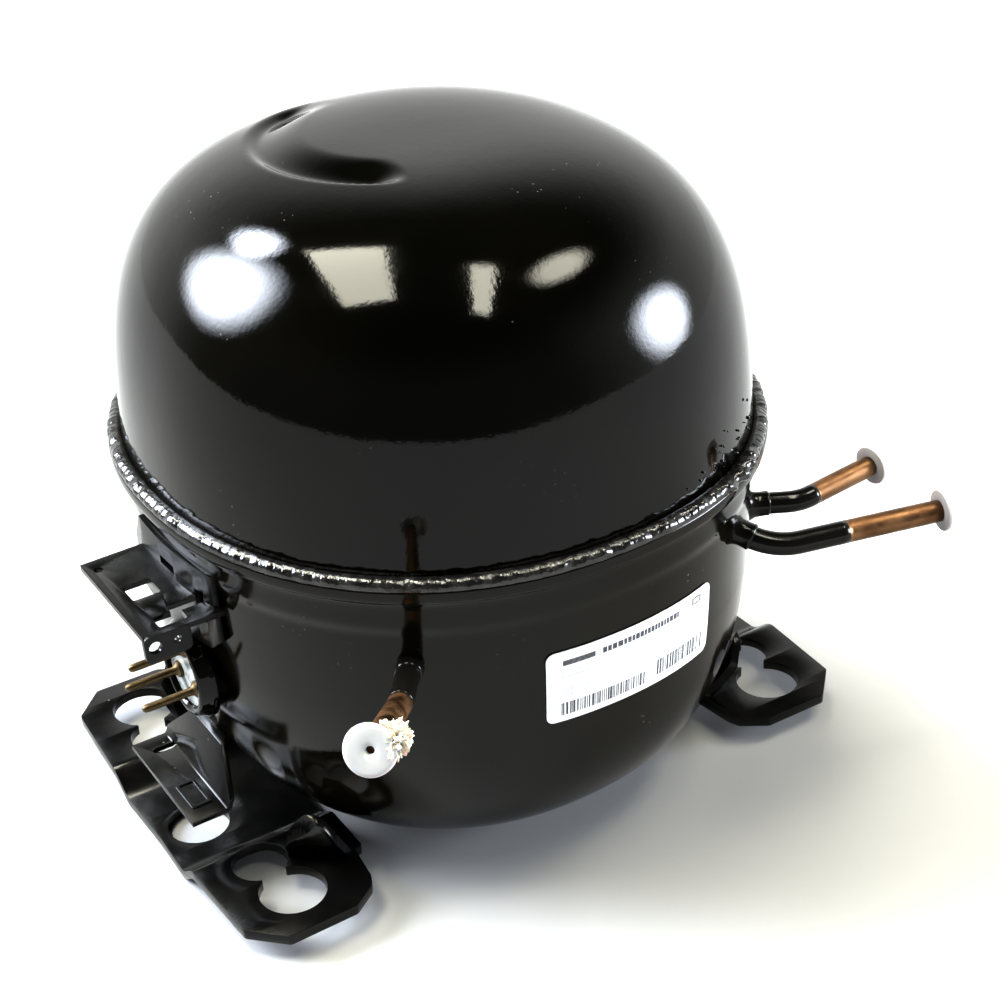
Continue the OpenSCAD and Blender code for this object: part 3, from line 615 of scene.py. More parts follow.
def make_upper_shell():
    t = SHEET_T
    skirt = SEAM_Z - SKIRT
    outer = [flat_ring(SHELL_A - 0.4, SHELL_B - 0.4, skirt), flat_ring(SHELL_A, SHELL_B, skirt + 0.4)]
    outer += [dome_ring(s, SHELL_A, SHELL_B, DOME_H, 0.10) for s in dome_levels()]
    inner = [flat_ring(SHELL_A - t, SHELL_B - t, skirt)]
    inner += [dome_ring(s, SHELL_A - t, SHELL_B - t, DOME_H - t) for s in dome_levels()[::3]]
    verts, faces = stack(outer[::-1] + inner)
    obj = mesh_object("upper_shell_skin", verts, faces, MAT["black_enamel"])
    return place(obj, "shell", "black_enamel", "upper_shell")


def pan_profile():
    """The pan's lip and the swage below it, as (offset outwards, height) pairs."""
    lip = [(0.1, 105.0), (2.9, 105.0), (3.4, 104.9), (3.75, 104.6), (LIP_OUT, 104.1), (LIP_OUT, 101.9),
           (3.78, 101.4), (3.4, 100.9), (2.6, 100.5), (1.7, 100.1), (1.05, 99.4), (0.75, 98.5)]
    swage, swage_z, swage_h = 0.6, 92.5, 4.5
    drop = swage + PAN_INSET
    heights = (95, 93, 92, 91, 90, 89, 88, 87)
    return lip + [(swage, 97)] + [(swage - drop * smooth((swage_z - z) / swage_h), z) for z in heights]


def pan_ring(z, a, b, wavy=0.0):
    s = pan_s(z)
    ring = []
    for i in range(AROUND):
        x, y = plan_point(2 * math.pi * i / AROUND, a * s, b * s)
        push = 1 + wavy * ripple((x, y, z), 30, 3) / a
        ring.append((x * push, y * push, z))
    return ring


def make_lower_shell():
    t = SHEET_T
    wall_top = 85
    outer = [flat_ring(SHELL_A + o, SHELL_B + o, z) for o, z in pan_profile()]
    angles = [math.radians(11 + 78.4 * i / 70) for i in range(71)]
    heights = [SEAM_Z - PAN_H * math.sin(f) ** (2 / PAN_P) for f in angles]
    low = [z for z in heights if z < wall_top]
    outer += [pan_ring(z, SHELL_A - PAN_INSET, SHELL_B - PAN_INSET, 0.12) for z in low]
    inner = [flat_ring(SHELL_A + 0.1, SHELL_B + 0.1, LIP_INNER_Z),
             flat_ring(SHELL_A - t, SHELL_B - t, LIP_INNER_Z), flat_ring(SHELL_A - t, SHELL_B - t, 88)]
    for h in heights[::4]:
        if h < wall_top:
            ring = pan_ring(h, SHELL_A - t, SHELL_B - t)
            inner.append([(x, y, z + t * smooth((60 - z) / 60)) for x, y, z in ring])
    verts, faces = stack(outer[::-1] + inner)
    obj = mesh_object("lower_shell_skin", verts, faces, MAT["pan_enamel"], 50)
    return place(obj, "shell", "black_enamel", "lower_shell")


# Where the weld was started and finished, in degrees round the shell
LUMP_AT = -61.0
BEAD_R = 2.3
BEAD_STEPS = 2600
BEAD_STEP_MM = 0.226
BEAD_PITCH = 2.7
BEAD_ANGLES = (-62, -40, -20, 0, 18, 36, 54, 72, 88, 104)


def make_weld_bead():
    """A glossy fillet round the seam: small overlapping tongues on larger lumps."""
    rings = []
    for k in range(BEAD_STEPS):
        t = 2 * math.pi * k / BEAD_STEPS
        deg = (math.degrees(t) + 180) % 360 - 180
        bx, by = plan_point(t, SHELL_A, SHELL_B)
        out = Vector((bx / SHELL_A ** 2, by / SHELL_B ** 2, 0)).normalized()
        near = math.exp(-((deg - LUMP_AT) / 6.0) ** 2)
        beat = k * BEAD_STEP_MM / BEAD_PITCH + 0.6 * ripple((bx, by, 0), 9)
        ring = []
        for j, ang in enumerate(BEAD_ANGLES):
            a = math.radians(ang)
            mid = math.exp(-((ang - 40) / 40) ** 2)
            tongue = (1 - (beat + 0.5 * ((ang - 40) / 60) ** 2) % 1.0) ** 0.7
            p = Vector((bx, by, SEAM_Z)) + out * 3
            lumps = 0.6 * ripple(p, 4.2, 11) + 0.27 * ripple(p, 1.8, 5 + j * 0.3)
            blob = 1.6 * mid + 1.5 * ripple(p, 2.8, 21 + j * 0.4)
            r = BEAD_R + mid * (0.17 * tongue + lumps) + near * blob
            c = Vector((bx, by, SEAM_Z + 0.15)) + out * 1.25
            ring.append(tuple(c + out * (r * 1.12 * math.cos(a)) + Vector((0, 0, r * math.sin(a)))))
        ring.append((bx - out.x * 0.6, by - out.y * 0.6, SEAM_Z + 1.4))
        ring.append((bx - out.x * 0.6, by - out.y * 0.6, SEAM_Z - 0.6))
        rings.append(ring)
    verts, faces = stack(rings, closed_loop=True)
    obj = mesh_object("weld_bead_run", verts, faces, MAT["weld_metal"])
    return place(obj, "shell", "weld_metal", "weld_bead")


def make_spatter():
    """Small weld drops frozen on the paint near the start of the bead."""
    verts, faces = [], []
    for _ in range(26):
        deg = LUMP_AT + rng.gauss(0, 7)
        z = SEAM_Z + 3.5 + abs(rng.gauss(0, 6)) if rng.random() < 0.8 else SEAM_Z - 6 - rng.random() * 9
        x, y = plan_point(math.radians(deg), SHELL_A, SHELL_B)
        if z < SEAM_Z:
            x, y = x * 1.006, y * 1.006
        m = frame_at((x, y, z), (x / SHELL_A ** 2, y / SHELL_B ** 2, 0))
        r = 0.14 + 0.34 * rng.random() ** 2
        lobes = rng.random() * 6
        root = -0.35
        prof = [(0.001, r * 0.7), (r * 0.6, r * 0.62), (r * 0.95, r * 0.3), (r * 1.15, 0), (r * 0.9, root),
                (0.001, root)]
        drop = lathe(prof, 10, m, lambda a, q, h: 0.18 * r * math.sin(2 * a + lobes) if q > 0.01 else 0)
        append_part(verts, faces, drop)
    obj = mesh_object("weld_spatter", verts, faces, MAT["weld_metal"])
    return place(obj, "shell", "weld_metal")


# ---------------------------------------------------------------- base plates

PLATE_T = 3.0
MID_DROP = 6.0
BEND_IN, BEND_OUT = 18.5, 29.0
INNER_HOLE = (85.0, 35.0, 8.0)
OUTER_HOLE = (82.55, 50.8, 9.5)
FLANGE_ALONG = Vector((0.788, 0.616, 0))
FLANGE_OUT = Vector((0.616, -0.788, 0))
FLANGE_T = 2.6
PLATE_IN, PLATE_OUT, PLATE_HALF = 52, 106, 67
RELIEF = (89.5, -3, 9)


def plate_drop(y):
    return -MID_DROP * smooth(1 - (abs(y) - BEND_IN) / (BEND_OUT - BEND_IN))


def keyhole(front):
    """Outline of the two circles of one foot's hole, joined with soft cusps."""
    (kx, ky, kr), (mx, my, mr) = INNER_HOLE, OUTER_HOLE
    k, m = Vector((kx, ky)), Vector((mx, my))
    d = (m - k).length
    base = math.degrees(math.atan2(my - ky, mx - kx))
    reach = (d * d + kr * kr - mr * mr) / (2 * d)
    half_k = math.degrees(math.acos(reach / kr))
    half_m = math.degrees(math.acos((d - reach) / mr))
    pts = arc(kx, ky, kr, base + half_k + 4, base + 360 - half_k - 4, 40)
    pts += arc(mx, my, mr, base + 180 + half_m + 4, base + 540 - half_m - 4, 44)
    return [(x, y * front) for x, y in pts]


def flange_patch():
    """The foot's upturned edge: a thick sheet that leans out beside the pan."""
    rows, cols = 10, 16
    lean_out, lean_down = FLANGE_OUT * 0.88, 0.47
    faces_in, faces_out = [], []
    for j in range(rows + 1):
        h = j / rows
        s0, s1 = 19.5 + 2.5 * h, 39 - 3 * h
        for i in range(cols + 1):
            w = i / cols
            s = s0 + (s1 - s0) * w
            z = 0.8 + (21.5 - 7 * abs(2 * w - 1) ** 2.6) * h
            d = 71.6 + 10.4 * h ** 0.85
            p = FLANGE_OUT * d + FLANGE_ALONG * s
            q = p + lean_out * FLANGE_T
            faces_in.append((p.x, p.y, z))
            faces_out.append((q.x, q.y, max(z - FLANGE_T * lean_down, 0.3)))
    return slab(faces_in, faces_out, cols, rows)


def make_base_plate(side):
    """A stamped foot plate: bent sheet, cut to outline, flanged and pierced."""
    ys = [-PLATE_HALF + 2 * PLATE_HALF * i / 120 for i in range(121)]
    section = [(y, plate_drop(y)) for y in ys] + [(y, plate_drop(y) + PLATE_T) for y in ys[::-1]]
    bar = prism(section, PLATE_IN, PLATE_OUT, ALONG_X)
    half = [(58, 0), (58, 45.5), (60.5, 46), (62, 58), (63.5, 61.5), (71, 66.6), (91.5, 66.9),
            (100.8, 57.5), (102.3, 29), (101.6, 0)]
    front = half[1:-1] + [(101.6, 3)]
    outline = rounded(front + [(x, -y) for x, y in front[::-1]], 0.8)
    obj = mesh_object("base_plate_%s_sheet" % side, *bar, MAT["plate_paint"])
    carve(obj, [prism(outline, -12, 12)], "INTERSECT")
    carve(obj, [flange_patch(), mirrored(flange_patch(), 1, -1)], "UNION")
    carve(obj, [prism(keyhole(1), -20, 40), prism(keyhole(-1), -20, 40)], "DIFFERENCE")
    if side == "left":
        carve(obj, [prism(arc(*RELIEF, 0, 352.5, 47), -20, 12)], "DIFFERENCE")
        obj.data.transform(Matrix.Scale(-1, 4, (1, 0, 0)))
        obj.data.flip_normals()
    bevelled(obj, 0.45)
    return place(obj, "shell", "black_enamel", "base_plate_%s" % side)


# ---------------------------------------------------------------- terminal and guard

GUARD_T = 1.6
GUARD_Y0 = -31.0
GUARD_UPPER_Y1 = 12.5
GUARD_LOWER_Y1 = 10.5
SHELF_Z0, SHELF_Z1 = 83.4, 85
TERM_Y, TERM_Z = -10.0, 56.0
PIN_R = 1.15
PIN_PCD = 13.4


def wall_band(y0, y1, z0, z1, off, thick):
    """A sheet that follows the pan's wall, from y0 to y1 and z0 to z1."""
    n = 24
    inner = [(-wall_x(y, z0) - off, y) for y in [y0 + (y1 - y0) * i / n for i in range(n + 1)]]
    outer = [(x - thick, y) for x, y in inner]
    return prism(inner + outer[::-1], z0, z1)


def make_guard_upper():
    """The shelf over the terminal, with its pierced end tab and the band that holds it."""
    y0, y1 = GUARD_Y0, GUARD_UPPER_Y1
    n = 20
    edge = [(-wall_x(y, 80) - 1.2, y) for y in [y0 + (y1 - y0) * i / n for i in range(n + 1)]]
    shelf = rounded([(-106, y0 + 0.5), (-106, y1 - 0.5), (-105.5, y1)], 0.5, 2) + edge[::-1]
    obj = mesh_object("guard_upper_sheet", *prism(shelf, SHELF_Z0, SHELF_Z1), MAT["plate_paint"])
    tab = prism(rounded([(-106.2, 85), (-93, 85), (-93, 77.4), (-106, 77)], 1.8), 0, GUARD_T,
                along_y(y0))
    band = wall_band(y0 + 3, y1 + 5, 70, 94.5, 0.9, GUARD_T)
    carve(obj, [tab, band], "UNION")
    corner = prism([(y1 - 2, 96), (y1 + 6, 96), (y1 + 6, 84)], -112, -70, ALONG_X)
    low = prism([(y0, 68), (y0 + 9, 68), (y0, 76)], -112, -70, ALONG_X)
    to_y = along_y(y0 - 4)
    cuts = [prism(rounded([(-101, -12.7), (-93, -12.7), (-93, -4.7), (-101, -4.7)], 0.8), 80, 88),
            prism(rounded([(-100.3, -28.2), (-92.3, -28.2), (-92.3, -23), (-100.3, -23)], 0.8), 80, 88),
            prism(arc(-102.7, 6.9, 1.3, 0, 345, 23), 80, 88),
            prism(arc(-103.2, 81.4, 1.8, 0, 345, 23), 0, 8, to_y),
            prism(arc(-96.8, 81.6, 1.1, 0, 345, 23), 0, 8, to_y),
            box_part(-95, -81, -10, -2, 86.6, 89.2), box_part(-95, -84.3, -24, -20, 78, 87.5), corner, low]
    carve(obj, cuts, "DIFFERENCE")
    bevelled(obj, 0.28)
    return place(obj, "shell", "black_enamel", "terminal_guard_upper")


def make_guard_lower():
    """The shelf under the terminal and the web that joins it to the pan's wall."""
    y0, y1 = GUARD_Y0, GUARD_LOWER_Y1
    section = [(-101, 20.4), (-90.6, 20.4), (-89.2, 21.2), (-84.6, 33.2), (-83.2, 34.4), (-83.4, 36),
               (-85.6, 35.0), (-90.2, 22.6), (-90.8, 22), (-101, 22)]
    obj = mesh_object("guard_lower_sheet", *prism(section, y0, y1, along_y()), MAT["plate_paint"])
    slot = arc(-95.8, 4, 1.25, 90, 270, 8) + arc(-90.6, 4, 1.25, -90, 90, 8)
    ends = [prism([(y0 - 1, 37), (y0 - 1, 23.5), (y0 + 13, 37)], -95, -80, ALONG_X),
            prism([(y1 + 1, 37), (y1 + 1, 23.5), (y1 - 13, 37)], -95, -80, ALONG_X)]
    carve(obj, [prism(slot, 15, 28)] + ends, "DIFFERENCE")
    bevelled(obj, 0.28)
    emboss = prism(rounded([(-98.6, -26), (-92.6, -26), (-92.6, -14), (-98.6, -14)], 0.8), 21.9, 22.5)
    frame_in = prism(rounded([(-97.6, -25), (-93.6, -25), (-93.6, -15), (-97.6, -15)], 0.6), 21, 23.5)
    rim = mesh_object("guard_lower_emboss", *emboss, MAT["plate_paint"])
    carve(rim, [frame_in], "DIFFERENCE")
    bevelled(rim, 0.15)
    place(rim, "shell", "black_enamel")
    return place(obj, "shell", "black_enamel", "terminal_guard_lower")


def terminal_matrix():
    return frame_at((0, TERM_Y, TERM_Z), (-1, 0, 0))


def pin_spots():
    m = terminal_matrix()
    for i in range(3):
        a = math.radians(120 * i + 90)
        yield m @ Vector((PIN_PCD / 2 * math.cos(a), PIN_PCD / 2 * math.sin(a), 0))


def make_terminal():
    cup_profile = [(10.6, 80), (12.9, 80), (12.9, 84.9), (14.2, 85.0), (14.5, 85.3), (14.5, 86.7),
                   (14.2, 87.3), (13.5, 88.4), (13.1, 89.7), (12.6, 90.3), (11.7, 90.5), (11.1, 90.2),
                   (10.8, 89.4), (10.6, 88)]
    v, f = lathe(cup_profile, 96, terminal_matrix())
    cup = mesh_object("terminal_cup_drawn", v, f, MAT["black_enamel"])
    place(cup, "shell", "black_enamel", "terminal_cup")
    face = [(0.001, 88.1), (3, 88.1), (8, 88.3), (9.8, 88.45), (10.5, 88.9), (10.6, 88.9),
            (10.6, 82), (0.001, 82)]
    v, f = lathe(face, 72, terminal_matrix())
    glass = mesh_object("terminal_glass_seal", v, f, MAT["glass_seal"], 40)
    place(glass, "shell", "glass_seal", "terminal_glass")
    verts, faces = [], []
    pin = [(0.001, 104.5), (0.45, 104.5), (0.85, 104.2), (1.08, 103.6), (PIN_R, 102.6), (PIN_R, 90.3),
           (1.5, 89.6), (2.3, 89.1), (2.5, 88.4), (2.5, 87.6), (PIN_R, 87.4), (PIN_R, 74), (0.001, 74)]
    for spot in pin_spots():
        m = frame_at((0, spot.y, spot.z), (-1, 0, 0))
        append_part(verts, faces, lathe(pin, 28, m))
    pins = mesh_object("terminal_pins_turned", verts, faces, MAT["pin_metal"], 35)
    place(pins, "shell", "pin_metal", "terminal_pins")


# ---------------------------------------------------------------- pipes and plugs

def bend_path(p0, p1, p2, r, n=18):
    """Points from p0 to p2 round the corner p1, which is bent to radius r."""
    p0, p1, p2 = Vector(p0), Vector(p1), Vector(p2)
    d1, d2 = (p1 - p0).normalized(), (p2 - p1).normalized()
    turn = d1.angle(d2)
    a = p1 - d1 * (r * math.tan(turn / 2))
    c = (d2 - d1 * d1.dot(d2)).normalized()
    path = [p0]
    path += [p0.lerp(a, k / 6) for k in range(1, 6)]
    turns = [turn * i / n for i in range(n + 1)]
    path += [a + d1 * r * math.sin(t) + c * r * (1 - math.cos(t)) for t in turns]
    last = path[-1]
    path += [last.lerp(p2, k / 14) for k in range(1, 15)]
    return path


def sweep(path, radius, sides=36):
    """Rings of a tube along a path; radius is a function of the step."""
    rings = []
    ref = Vector((0.31, 0.94, 0.12))
    for k, p in enumerate(path):
        z = (path[min(k + 1, len(path) - 1)] - path[max(k - 1, 0)]).normalized()
        x = ref.cross(z).normalized()
        y = z.cross(x)
        r = radius(k)
        rings.append([tuple(p + (x * math.cos(w) + y * math.sin(w)) * r)
                      for w in [2 * math.pi * j / sides for j in range(sides)]])
    return rings


def make_pipe(name):
    root, corner, end, r, painted = PIPES[name]
    path = bend_path(root, corner, end, r)
    lengths = [0.0]
    for a, b in zip(path, path[1:]):
        lengths.append(lengths[-1] + (b - a).length)
    edge = painted * lengths[-1]
    cut = max(k for k, v in enumerate(lengths) if v <= edge)
    d = (path[cut + 1] - path[cut]).normalized()
    border = path[cut] + d * (edge - lengths[cut])
    path = path[:cut + 1] + [border - d * 0.02, border + d * 0.02] + path[cut + 1:]
    if (path[cut] - border).length < 0.05:
        path.pop(cut)
        cut -= 1
    paint_to = cut + 1
    paint_t, end_round = 0.07, 0.15

    def radius(k):
        r = PIPE_OD / 2 if k > paint_to else PIPE_OD / 2 + paint_t
        return r - end_round if k == len(path) - 1 else r

    outer = sweep(path, radius)
    inner = sweep(path[::-1], lambda k: PIPE_ID / 2)
    verts, faces = stack(outer + inner, closed_loop=True)
    obj = mesh_object("%s_pipe_copper" % name, verts, faces, [MAT["copper_pipe"], MAT["pipe_paint"]])
    for poly in obj.data.polygons:
        c = poly.center / MM
        before = (c - border).dot(d) < 0 or (c - Vector(root)).length < (corner_reach(root, corner))
        poly.material_index = 1 if before else 0
    return place(obj, "shell", "copper_pipe", "%s_pipe" % name)


def corner_reach(root, corner):
    return (Vector(corner) - Vector(root)).length


def make_sleeves():
    """The braze fillet and collar round each pipe where it leaves the wall, as one piece."""
    r = PIPE_OD / 2
    profile = [(r - 0.1, 1.5), (r + 2.3, 1.5), (r + 1.9, 3.2), (r + 1.1, 4.4), (r + 0.6, 5.8),
               (r + 0.5, 7.4), (r + 0.5, 9.2), (r + 0.62, 9.6), (r + 0.5, 10.0), (r + 0.15, 10.3),
               (r - 0.1, 10.5)]
    verts, faces = [], []
    for root, corner, _, _, _ in PIPES.values():
        m = frame_at(root, (Vector(corner) - Vector(root)).normalized())

        def wobble(t, q, h, m=m):
            if q < r + 0.05:
                return 0
            p = (3 * math.cos(t) + m.translation.x, 3 * math.sin(t), h)
            return (0.34 if h > 5 else 0.75) * ripple(p, 3.2) + 0.12 * ripple(p, 1.2, 4)

        append_part(verts, faces, lathe(profile, 64, m, wobble))
    obj = mesh_object("pipe_sleeves_brazed", verts, faces, MAT["pipe_paint"])
    return place(obj, "shell", "black_enamel", "pipe_sleeves")


def make_plug(name, dia):
    _, corner, end, _, _ = PIPES[name]
    d = (Vector(end) - Vector(corner)).normalized()
    m = frame_at(end, d)
    stem = PIPE_ID / 2 - 0.1
    r = dia / 2
    prof = [(1.0, -8), (stem - 0.3, -8), (stem, -7.5), (stem, 0.02), (r - 0.5, 0.02), (r - 0.12, 0.18),
            (r, 0.6), (r - 0.06, 1.1), (r - 0.4, 1.5), (r - 1.2, 1.62), (2.6, 1.55), (1.5, 1.45),
            (1.08, 1.1), (1.0, 0.4)]
    v, f = lathe(prof, 72, m, lambda t, q, h: 0.06 * math.sin(3 * t + 1) if q > 4 else 0)
    obj = mesh_object("%s_plug_moulded" % name, v, f, MAT["natural_plastic"], 50)
    return place(obj, "%s_cap" % name, "natural_plastic", "%s_plug" % name)


def make_torn_bit():
    """A torn, crumbled flap of the front plug that sticks out beside its head."""
    _, corner, end, _, _ = PIPES["process"]
    d = (Vector(end) - Vector(corner)).normalized()
    m = frame_at(end, d)
    bm = bmesh.new()
    bmesh.ops.create_icosphere(bm, subdivisions=6, radius=1.0)
    for v in bm.verts:
        p = v.co.copy()
        rough = 0.5 * ripple(p, 0.5, 3) + 0.42 * ripple(p, 0.22, 9) + 0.25 * ripple(p, 0.1, 15)
        v.co = Vector((p.x * 3.3, p.y * 3.9, p.z * 2.6)) * (1 + rough)
    side = Vector((5.6, 2.6, -0.6))
    for v in bm.verts:
        v.co = (m @ (v.co + side)) * MM
    mesh = bpy.data.meshes.new("process_plug_torn")
    bm.to_mesh(mesh)
    bm.free()
    obj = bpy.data.objects.new("process_plug_torn", mesh)
    bpy.context.scene.collection.objects.link(obj)
    mesh.materials.append(MAT["torn_plastic"])
    shade(obj, 40)
    return place(obj, "process_cap", "natural_plastic")


# ---------------------------------------------------------------- label

LABEL_T0, LABEL_T1 = -103.0, -69.0
LABEL_Z0, LABEL_Z1 = 55.0, 78.0
LABEL_WIDE = 55.0
LABEL_TALL = LABEL_Z1 - LABEL_Z0
LABEL_CORNER = 2.4
# Distance from the pan's wall of the film's two faces and of the ink's two faces
FILM_BACK, FILM_FACE = 0.16, 0.36
INK_BACK, INK_FACE = 0.37, 0.40


def label_point(u, v, off):
    """Point of the label, u along it and v up it from 0 to 1, off millimetres from the wall."""
    t = math.radians(LABEL_T0 + (LABEL_T1 - LABEL_T0) * u)
    z = LABEL_Z0 + (LABEL_Z1 - LABEL_Z0) * v
    s = pan_s(z)
    x, y = plan_point(t, (SHELL_A - PAN_INSET) * s + off, (SHELL_B - PAN_INSET) * s + off)
    return x, y, z


def make_label():
    nu, nv = 90, 40
    wide, tall, corner = LABEL_WIDE, LABEL_TALL, LABEL_CORNER
    top, low = [], []
    for j in range(nv + 1):
        for i in range(nu + 1):
            u, v = i / nu, j / nv
            px, py = (u - 0.5) * wide, (v - 0.5) * tall
            qx, qy = abs(px) - (wide / 2 - corner), abs(py) - (tall / 2 - corner)
            if qx > 0 and qy > 0 and math.hypot(qx, qy) > corner:
                k = corner / math.hypot(qx, qy)
                px = math.copysign(wide / 2 - corner + qx * k, px)
                py = math.copysign(tall / 2 - corner + qy * k, py)
            uu, vv = px / wide + 0.5, py / tall + 0.5
            top.append(label_point(uu, vv, FILM_FACE))
            low.append(label_point(uu, vv, FILM_BACK))
    obj = mesh_object("rating_label_film", *slab(top, low, nu, nv), MAT["label_film"], 40)
    return place(obj, "shell", "label_film", "rating_label")


def make_label_marks():
    """Plain bars and stripes, with no lettering, where a rating label is printed."""
    dark, pale = [], []
    x = 0.30
    while x < 0.73:
        w = 0.010 + 0.012 * rng.random()
        dark.append((x, x + w, 0.80, 0.875))
        x += w + 0.006
    dark.append((0.09, 0.26, 0.80, 0.87))
    for v, u1 in ((0.70, 0.62), (0.63, 0.50), (0.44, 0.72), (0.37, 0.46)):
        x = 0.08
        while x < u1:
            w = 0.006 + 0.02 * rng.random()
            pale.append((x, x + w, v, v + 0.030))
            x += w + 0.006
    for v in (0.72, 0.66, 0.60, 0.54):
        x = 0.74
        while x < 0.92:
            w = 0.006 + 0.014 * rng.random()
            pale.append((x, x + w, v, v + 0.026))
            x += w + 0.006
    for u0, u1, v0, v1 in ((0.08, 0.52, 0.09, 0.27), (0.60, 0.93, 0.12, 0.34)):
        x = u0
        while x < u1:
            w = 0.0035 * rng.choice((1, 1, 2, 3))
            dark.append((x, x + w, v0, v1))
            x += w + 0.0035 * rng.choice((1, 2, 2, 3))
    # A small open square
    dark += [(0.845, 0.855, 0.82, 0.92), (0.86, 0.90, 0.82, 0.84)]
    dark += [(0.86, 0.90, 0.90, 0.92), (0.905, 0.915, 0.82, 0.92)]
    for name, marks in (("label_ink", dark), ("label_grey", pale)):
        verts, faces = [], []
        for u0, u1, v0, v1 in marks:
            n = max(1, int((u1 - u0) / 0.03))
            base = len(verts)
            for k in range(n + 1):
                u = u0 + (u1 - u0) * k / n
                verts += [label_point(u, v0, INK_BACK), label_point(u, v1, INK_BACK)]
                verts += [label_point(u, v1, INK_FACE), label_point(u, v0, INK_FACE)]
            for k in range(n):
                a, b = base + 4 * k, base + 4 * k + 4
                faces += [(a + i, a + (i + 1) % 4, b + (i + 1) % 4, b + i) for i in range(4)]
            faces += [tuple(base + i for i in range(4)), tuple(base + 4 * n + i for i in (3, 2, 1, 0))]
        obj = mesh_object("%s_marks" % name, verts, faces, MAT[name], 30)
        place(obj, "shell", "label_film")


# ---------------------------------------------------------------- carried-over nodes

def dress_inner_nodes():
    """Gives each CAD node its slot's material and smooth shading on its curves."""
    slots = {s["node"]: s["material_slot"] for s in frame["record"]["subparts"]}
    for node, obj in frame["nodes"].items():
        obj.data.materials.clear()
        obj.data.materials.append(MAT[slots[node]])
        obj.data.polygons.foreach_set("use_smooth", [True] * len(obj.data.polygons))
        obj.data.set_sharp_from_angle(angle=math.radians(30))


# ---------------------------------------------------------------- camera, floor and light

CAM_AZ, CAM_EL, CAM_ROLL = -30.66, 31.28, 3.07
CAM_POS = (-241.2, -440.8, 377.2)
FLOOR_TONE = (0.31, 0.31, 0.31)
FLOOR_SHADE = (0.30, 0.30, 0.30)
LENS = 72.24


def make_camera():
    a, e, r = (math.radians(v) for v in (CAM_AZ, CAM_EL, CAM_ROLL))
    back = Vector((math.sin(a) * math.cos(e), -math.cos(a) * math.cos(e), math.sin(e)))
    right = Vector((math.cos(a), math.sin(a), 0))
    up = back.cross(right)
    x = right * math.cos(r) - up * math.sin(r)
    y = right * math.sin(r) + up * math.cos(r)
    m = Matrix((x, y, back)).transposed().to_4x4()
    m.translation = Vector(CAM_POS) * MM
    data = bpy.data.cameras.new("camera")
    data.lens = LENS
    data.sensor_width = 36
    data.clip_start = 0.01
    cam = bpy.data.objects.new("camera", data)
    cam.matrix_world = m
    bpy.context.scene.collection.objects.link(cam)
    bpy.context.scene.camera = cam


def make_floor():
    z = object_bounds()[0][2] - 0.0003
    n, half = 24, 4.0
    steps = [-half + 2 * half * i / n for i in range(n + 1)]
    verts = [(x, y, z) for y in steps for x in steps]
    faces = [(j * (n + 1) + i, j * (n + 1) + i + 1, (j + 1) * (n + 1) + i + 1, (j + 1) * (n + 1) + i)
             for j in range(n) for i in range(n)]
    s = Shader("floor", FLOOR_TONE, 0.9, Specular_IOR_Level=0.0)
    s.color(s.mix(s.ramp(s.noise(3, 2), 0.3, 0.7), FLOOR_TONE, FLOOR_SHADE))
    floor = mesh_object("floor", verts, faces, s.mat, mm=False)


# Soft windows of light: azimuth, elevation, then the angle and half length of each of
# the window's two half axes, the softness of its edge, its radiance and its tint
BLUISH = (0.84, 0.90, 1.0)
YELLOWISH = (1.0, 0.97, 0.82)
ROUND_LIGHTS = {
    "left": (133.8, 31.9, 67, 0.31, 152, 0.31, 0.55, 68, BLUISH),
    "left_small": (106.1, 42.8, 101, 0.115, 191, 0.125, 0.6, 68, BLUISH),
    "right": (-30.0, 11.5, -41, 0.235, 50, 0.225, 0.6, 68, BLUISH),
    "side": (-20.2, 58.5, -47, 0.135, 15, 0.15, 0.5, 30, YELLOWISH),
}
SQUARE_LIGHTS = {
    "window": (128.8, 71.7, 114, 0.151, 199, 0.343, 0.12, 36, YELLOWISH),
    "slit": (-57.3, 73.2, -83, 0.06, 36, 0.31, 0.25, 36, YELLOWISH),
}
BACKDROP_AZ = 38.0
# Below 1, it deepens the dark tones of the view
CONTRAST_GAMMA = 0.86


def unit_dir(azimuth, elevation):
    a, e = math.radians(azimuth), math.radians(elevation)
    return Vector((math.cos(a) * math.cos(e), math.sin(a) * math.cos(e), math.sin(e)))


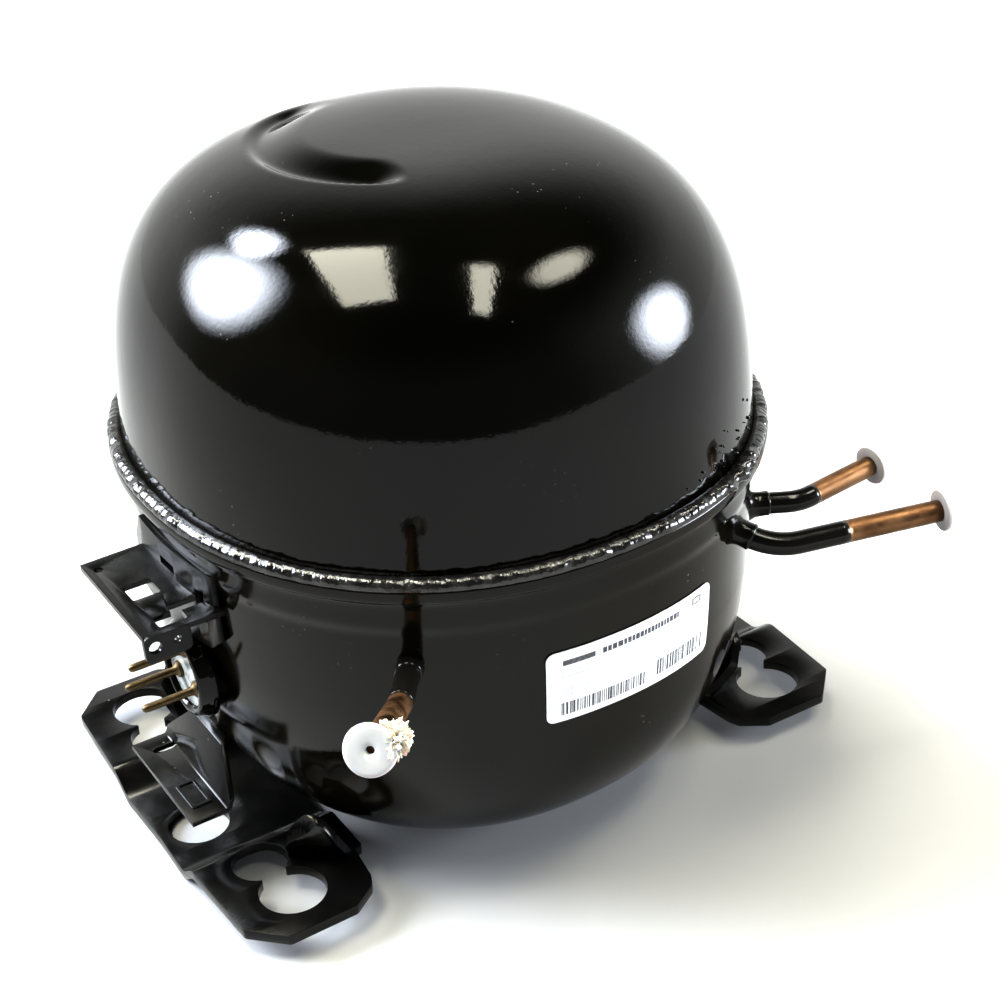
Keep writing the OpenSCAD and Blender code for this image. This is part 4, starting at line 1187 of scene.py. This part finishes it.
class World:
    """A world shader made of soft windows of light on a dark room."""

    def __init__(self):
        world = bpy.data.worlds.new("world")
        bpy.context.scene.world = world
        world.use_nodes = True
        self.tree = world.node_tree
        self.view = self.tree.nodes.new("ShaderNodeTexCoord").outputs["Generated"]
        self.total = None

    def math(self, op, a, b=0.0):
        m = self.tree.nodes.new("ShaderNodeMath")
        m.operation = op
        for k, v in enumerate((a, b)):
            if isinstance(v, (int, float)):
                m.inputs[k].default_value = v
            else:
                self.tree.links.new(v, m.inputs[k])
        return m.outputs[0]

    def along(self, vector):
        m = self.tree.nodes.new("ShaderNodeVectorMath")
        m.operation = "DOT_PRODUCT"
        m.inputs[1].default_value = vector
        self.tree.links.new(self.view, m.inputs[0])
        return m.outputs["Value"]

    def step(self, source, low, high, out=(0.0, 1.0)):
        m = self.tree.nodes.new("ShaderNodeMapRange")
        m.interpolation_type = "SMOOTHSTEP"
        m.inputs["From Min"].default_value = low
        m.inputs["From Max"].default_value = high
        m.inputs["To Min"].default_value = out[0]
        m.inputs["To Max"].default_value = out[1]
        self.tree.links.new(source, m.inputs["Value"])
        return m.outputs[0]

    def add(self, amount, color):
        m = self.tree.nodes.new("ShaderNodeVectorMath")
        m.operation = "SCALE"
        m.inputs[0].default_value = color
        self.tree.links.new(amount, m.inputs["Scale"])
        if self.total is None:
            self.total = m.outputs[0]
            return
        s = self.tree.nodes.new("ShaderNodeVectorMath")
        self.tree.links.new(self.total, s.inputs[0])
        self.tree.links.new(m.outputs[0], s.inputs[1])
        self.total = s.outputs[0]

    def window(self, is_round, azimuth, elevation, u_turn, u, v_turn, v, soft, radiance, color):
        c = unit_dir(azimuth, elevation)
        level = Vector((-c.y, c.x, 0)).normalized()
        rise = c.cross(level)
        ux, uy = u * math.cos(math.radians(u_turn)), u * math.sin(math.radians(u_turn))
        vx, vy = v * math.cos(math.radians(v_turn)), v * math.sin(math.radians(v_turn))
        det = ux * vy - vx * uy
        depth = self.math("MAXIMUM", self.along(c), 0.05)
        a = self.math("DIVIDE", self.along((level * vy - rise * vx) / det), depth)
        b = self.math("DIVIDE", self.along((rise * ux - level * uy) / det), depth)
        low, high = 1 + soft * 0.6, 1 - soft
        if is_round:
            r = self.math("SQRT", self.math("ADD", self.math("MULTIPLY", a, a), self.math("MULTIPLY", b, b)))
            mask = self.step(r, high, low, (1, 0))
        else:
            side = self.step(self.math("ABSOLUTE", a), high, low, (1, 0))
            mask = self.math("MULTIPLY", side, self.step(self.math("ABSOLUTE", b), high, low, (1, 0)))
        self.add(self.math("MULTIPLY", mask, radiance), color)

    def backdrop(self):
        """A pale wall low down behind the object, and little light from elsewhere."""
        height = self.along((0, 0, 1))
        band = self.step(height, 0.3, 0.76, (1.7, 0))
        facing = self.step(self.along(unit_dir(BACKDROP_AZ, 0)), -0.35, 0.4, (0.10, 1.0))
        self.add(self.math("MULTIPLY", band, facing), (1, 1, 0.99))
        self.add(self.step(height, 0.2, 1.0, (0.05, 0.035)), (0.9, 0.95, 1))

    def finish(self):
        background = self.tree.nodes["Background"]
        self.tree.links.new(self.total, background.inputs["Color"])


def make_light():
    world = World()
    world.backdrop()
    for spec in ROUND_LIGHTS.values():
        world.window(True, *spec)
    for spec in SQUARE_LIGHTS.values():
        world.window(False, *spec)
    world.finish()
    view = bpy.context.scene.view_settings
    view.view_transform = "Standard"
    view.gamma = CONTRAST_GAMMA


# ---------------------------------------------------------------- build

make_camera()
dress_inner_nodes()
make_upper_shell()
make_lower_shell()
make_weld_bead()
make_spatter()
make_base_plate("left")
make_base_plate("right")
make_guard_upper()
make_guard_lower()
make_terminal()
for pipe_name, plug_dia in (("discharge", 11.8), ("suction", 12.0), ("process", 12.9)):
    make_pipe(pipe_name)
    make_plug(pipe_name, plug_dia)
make_sleeves()
make_torn_bit()
make_label()
make_label_marks()
make_floor()
make_light()
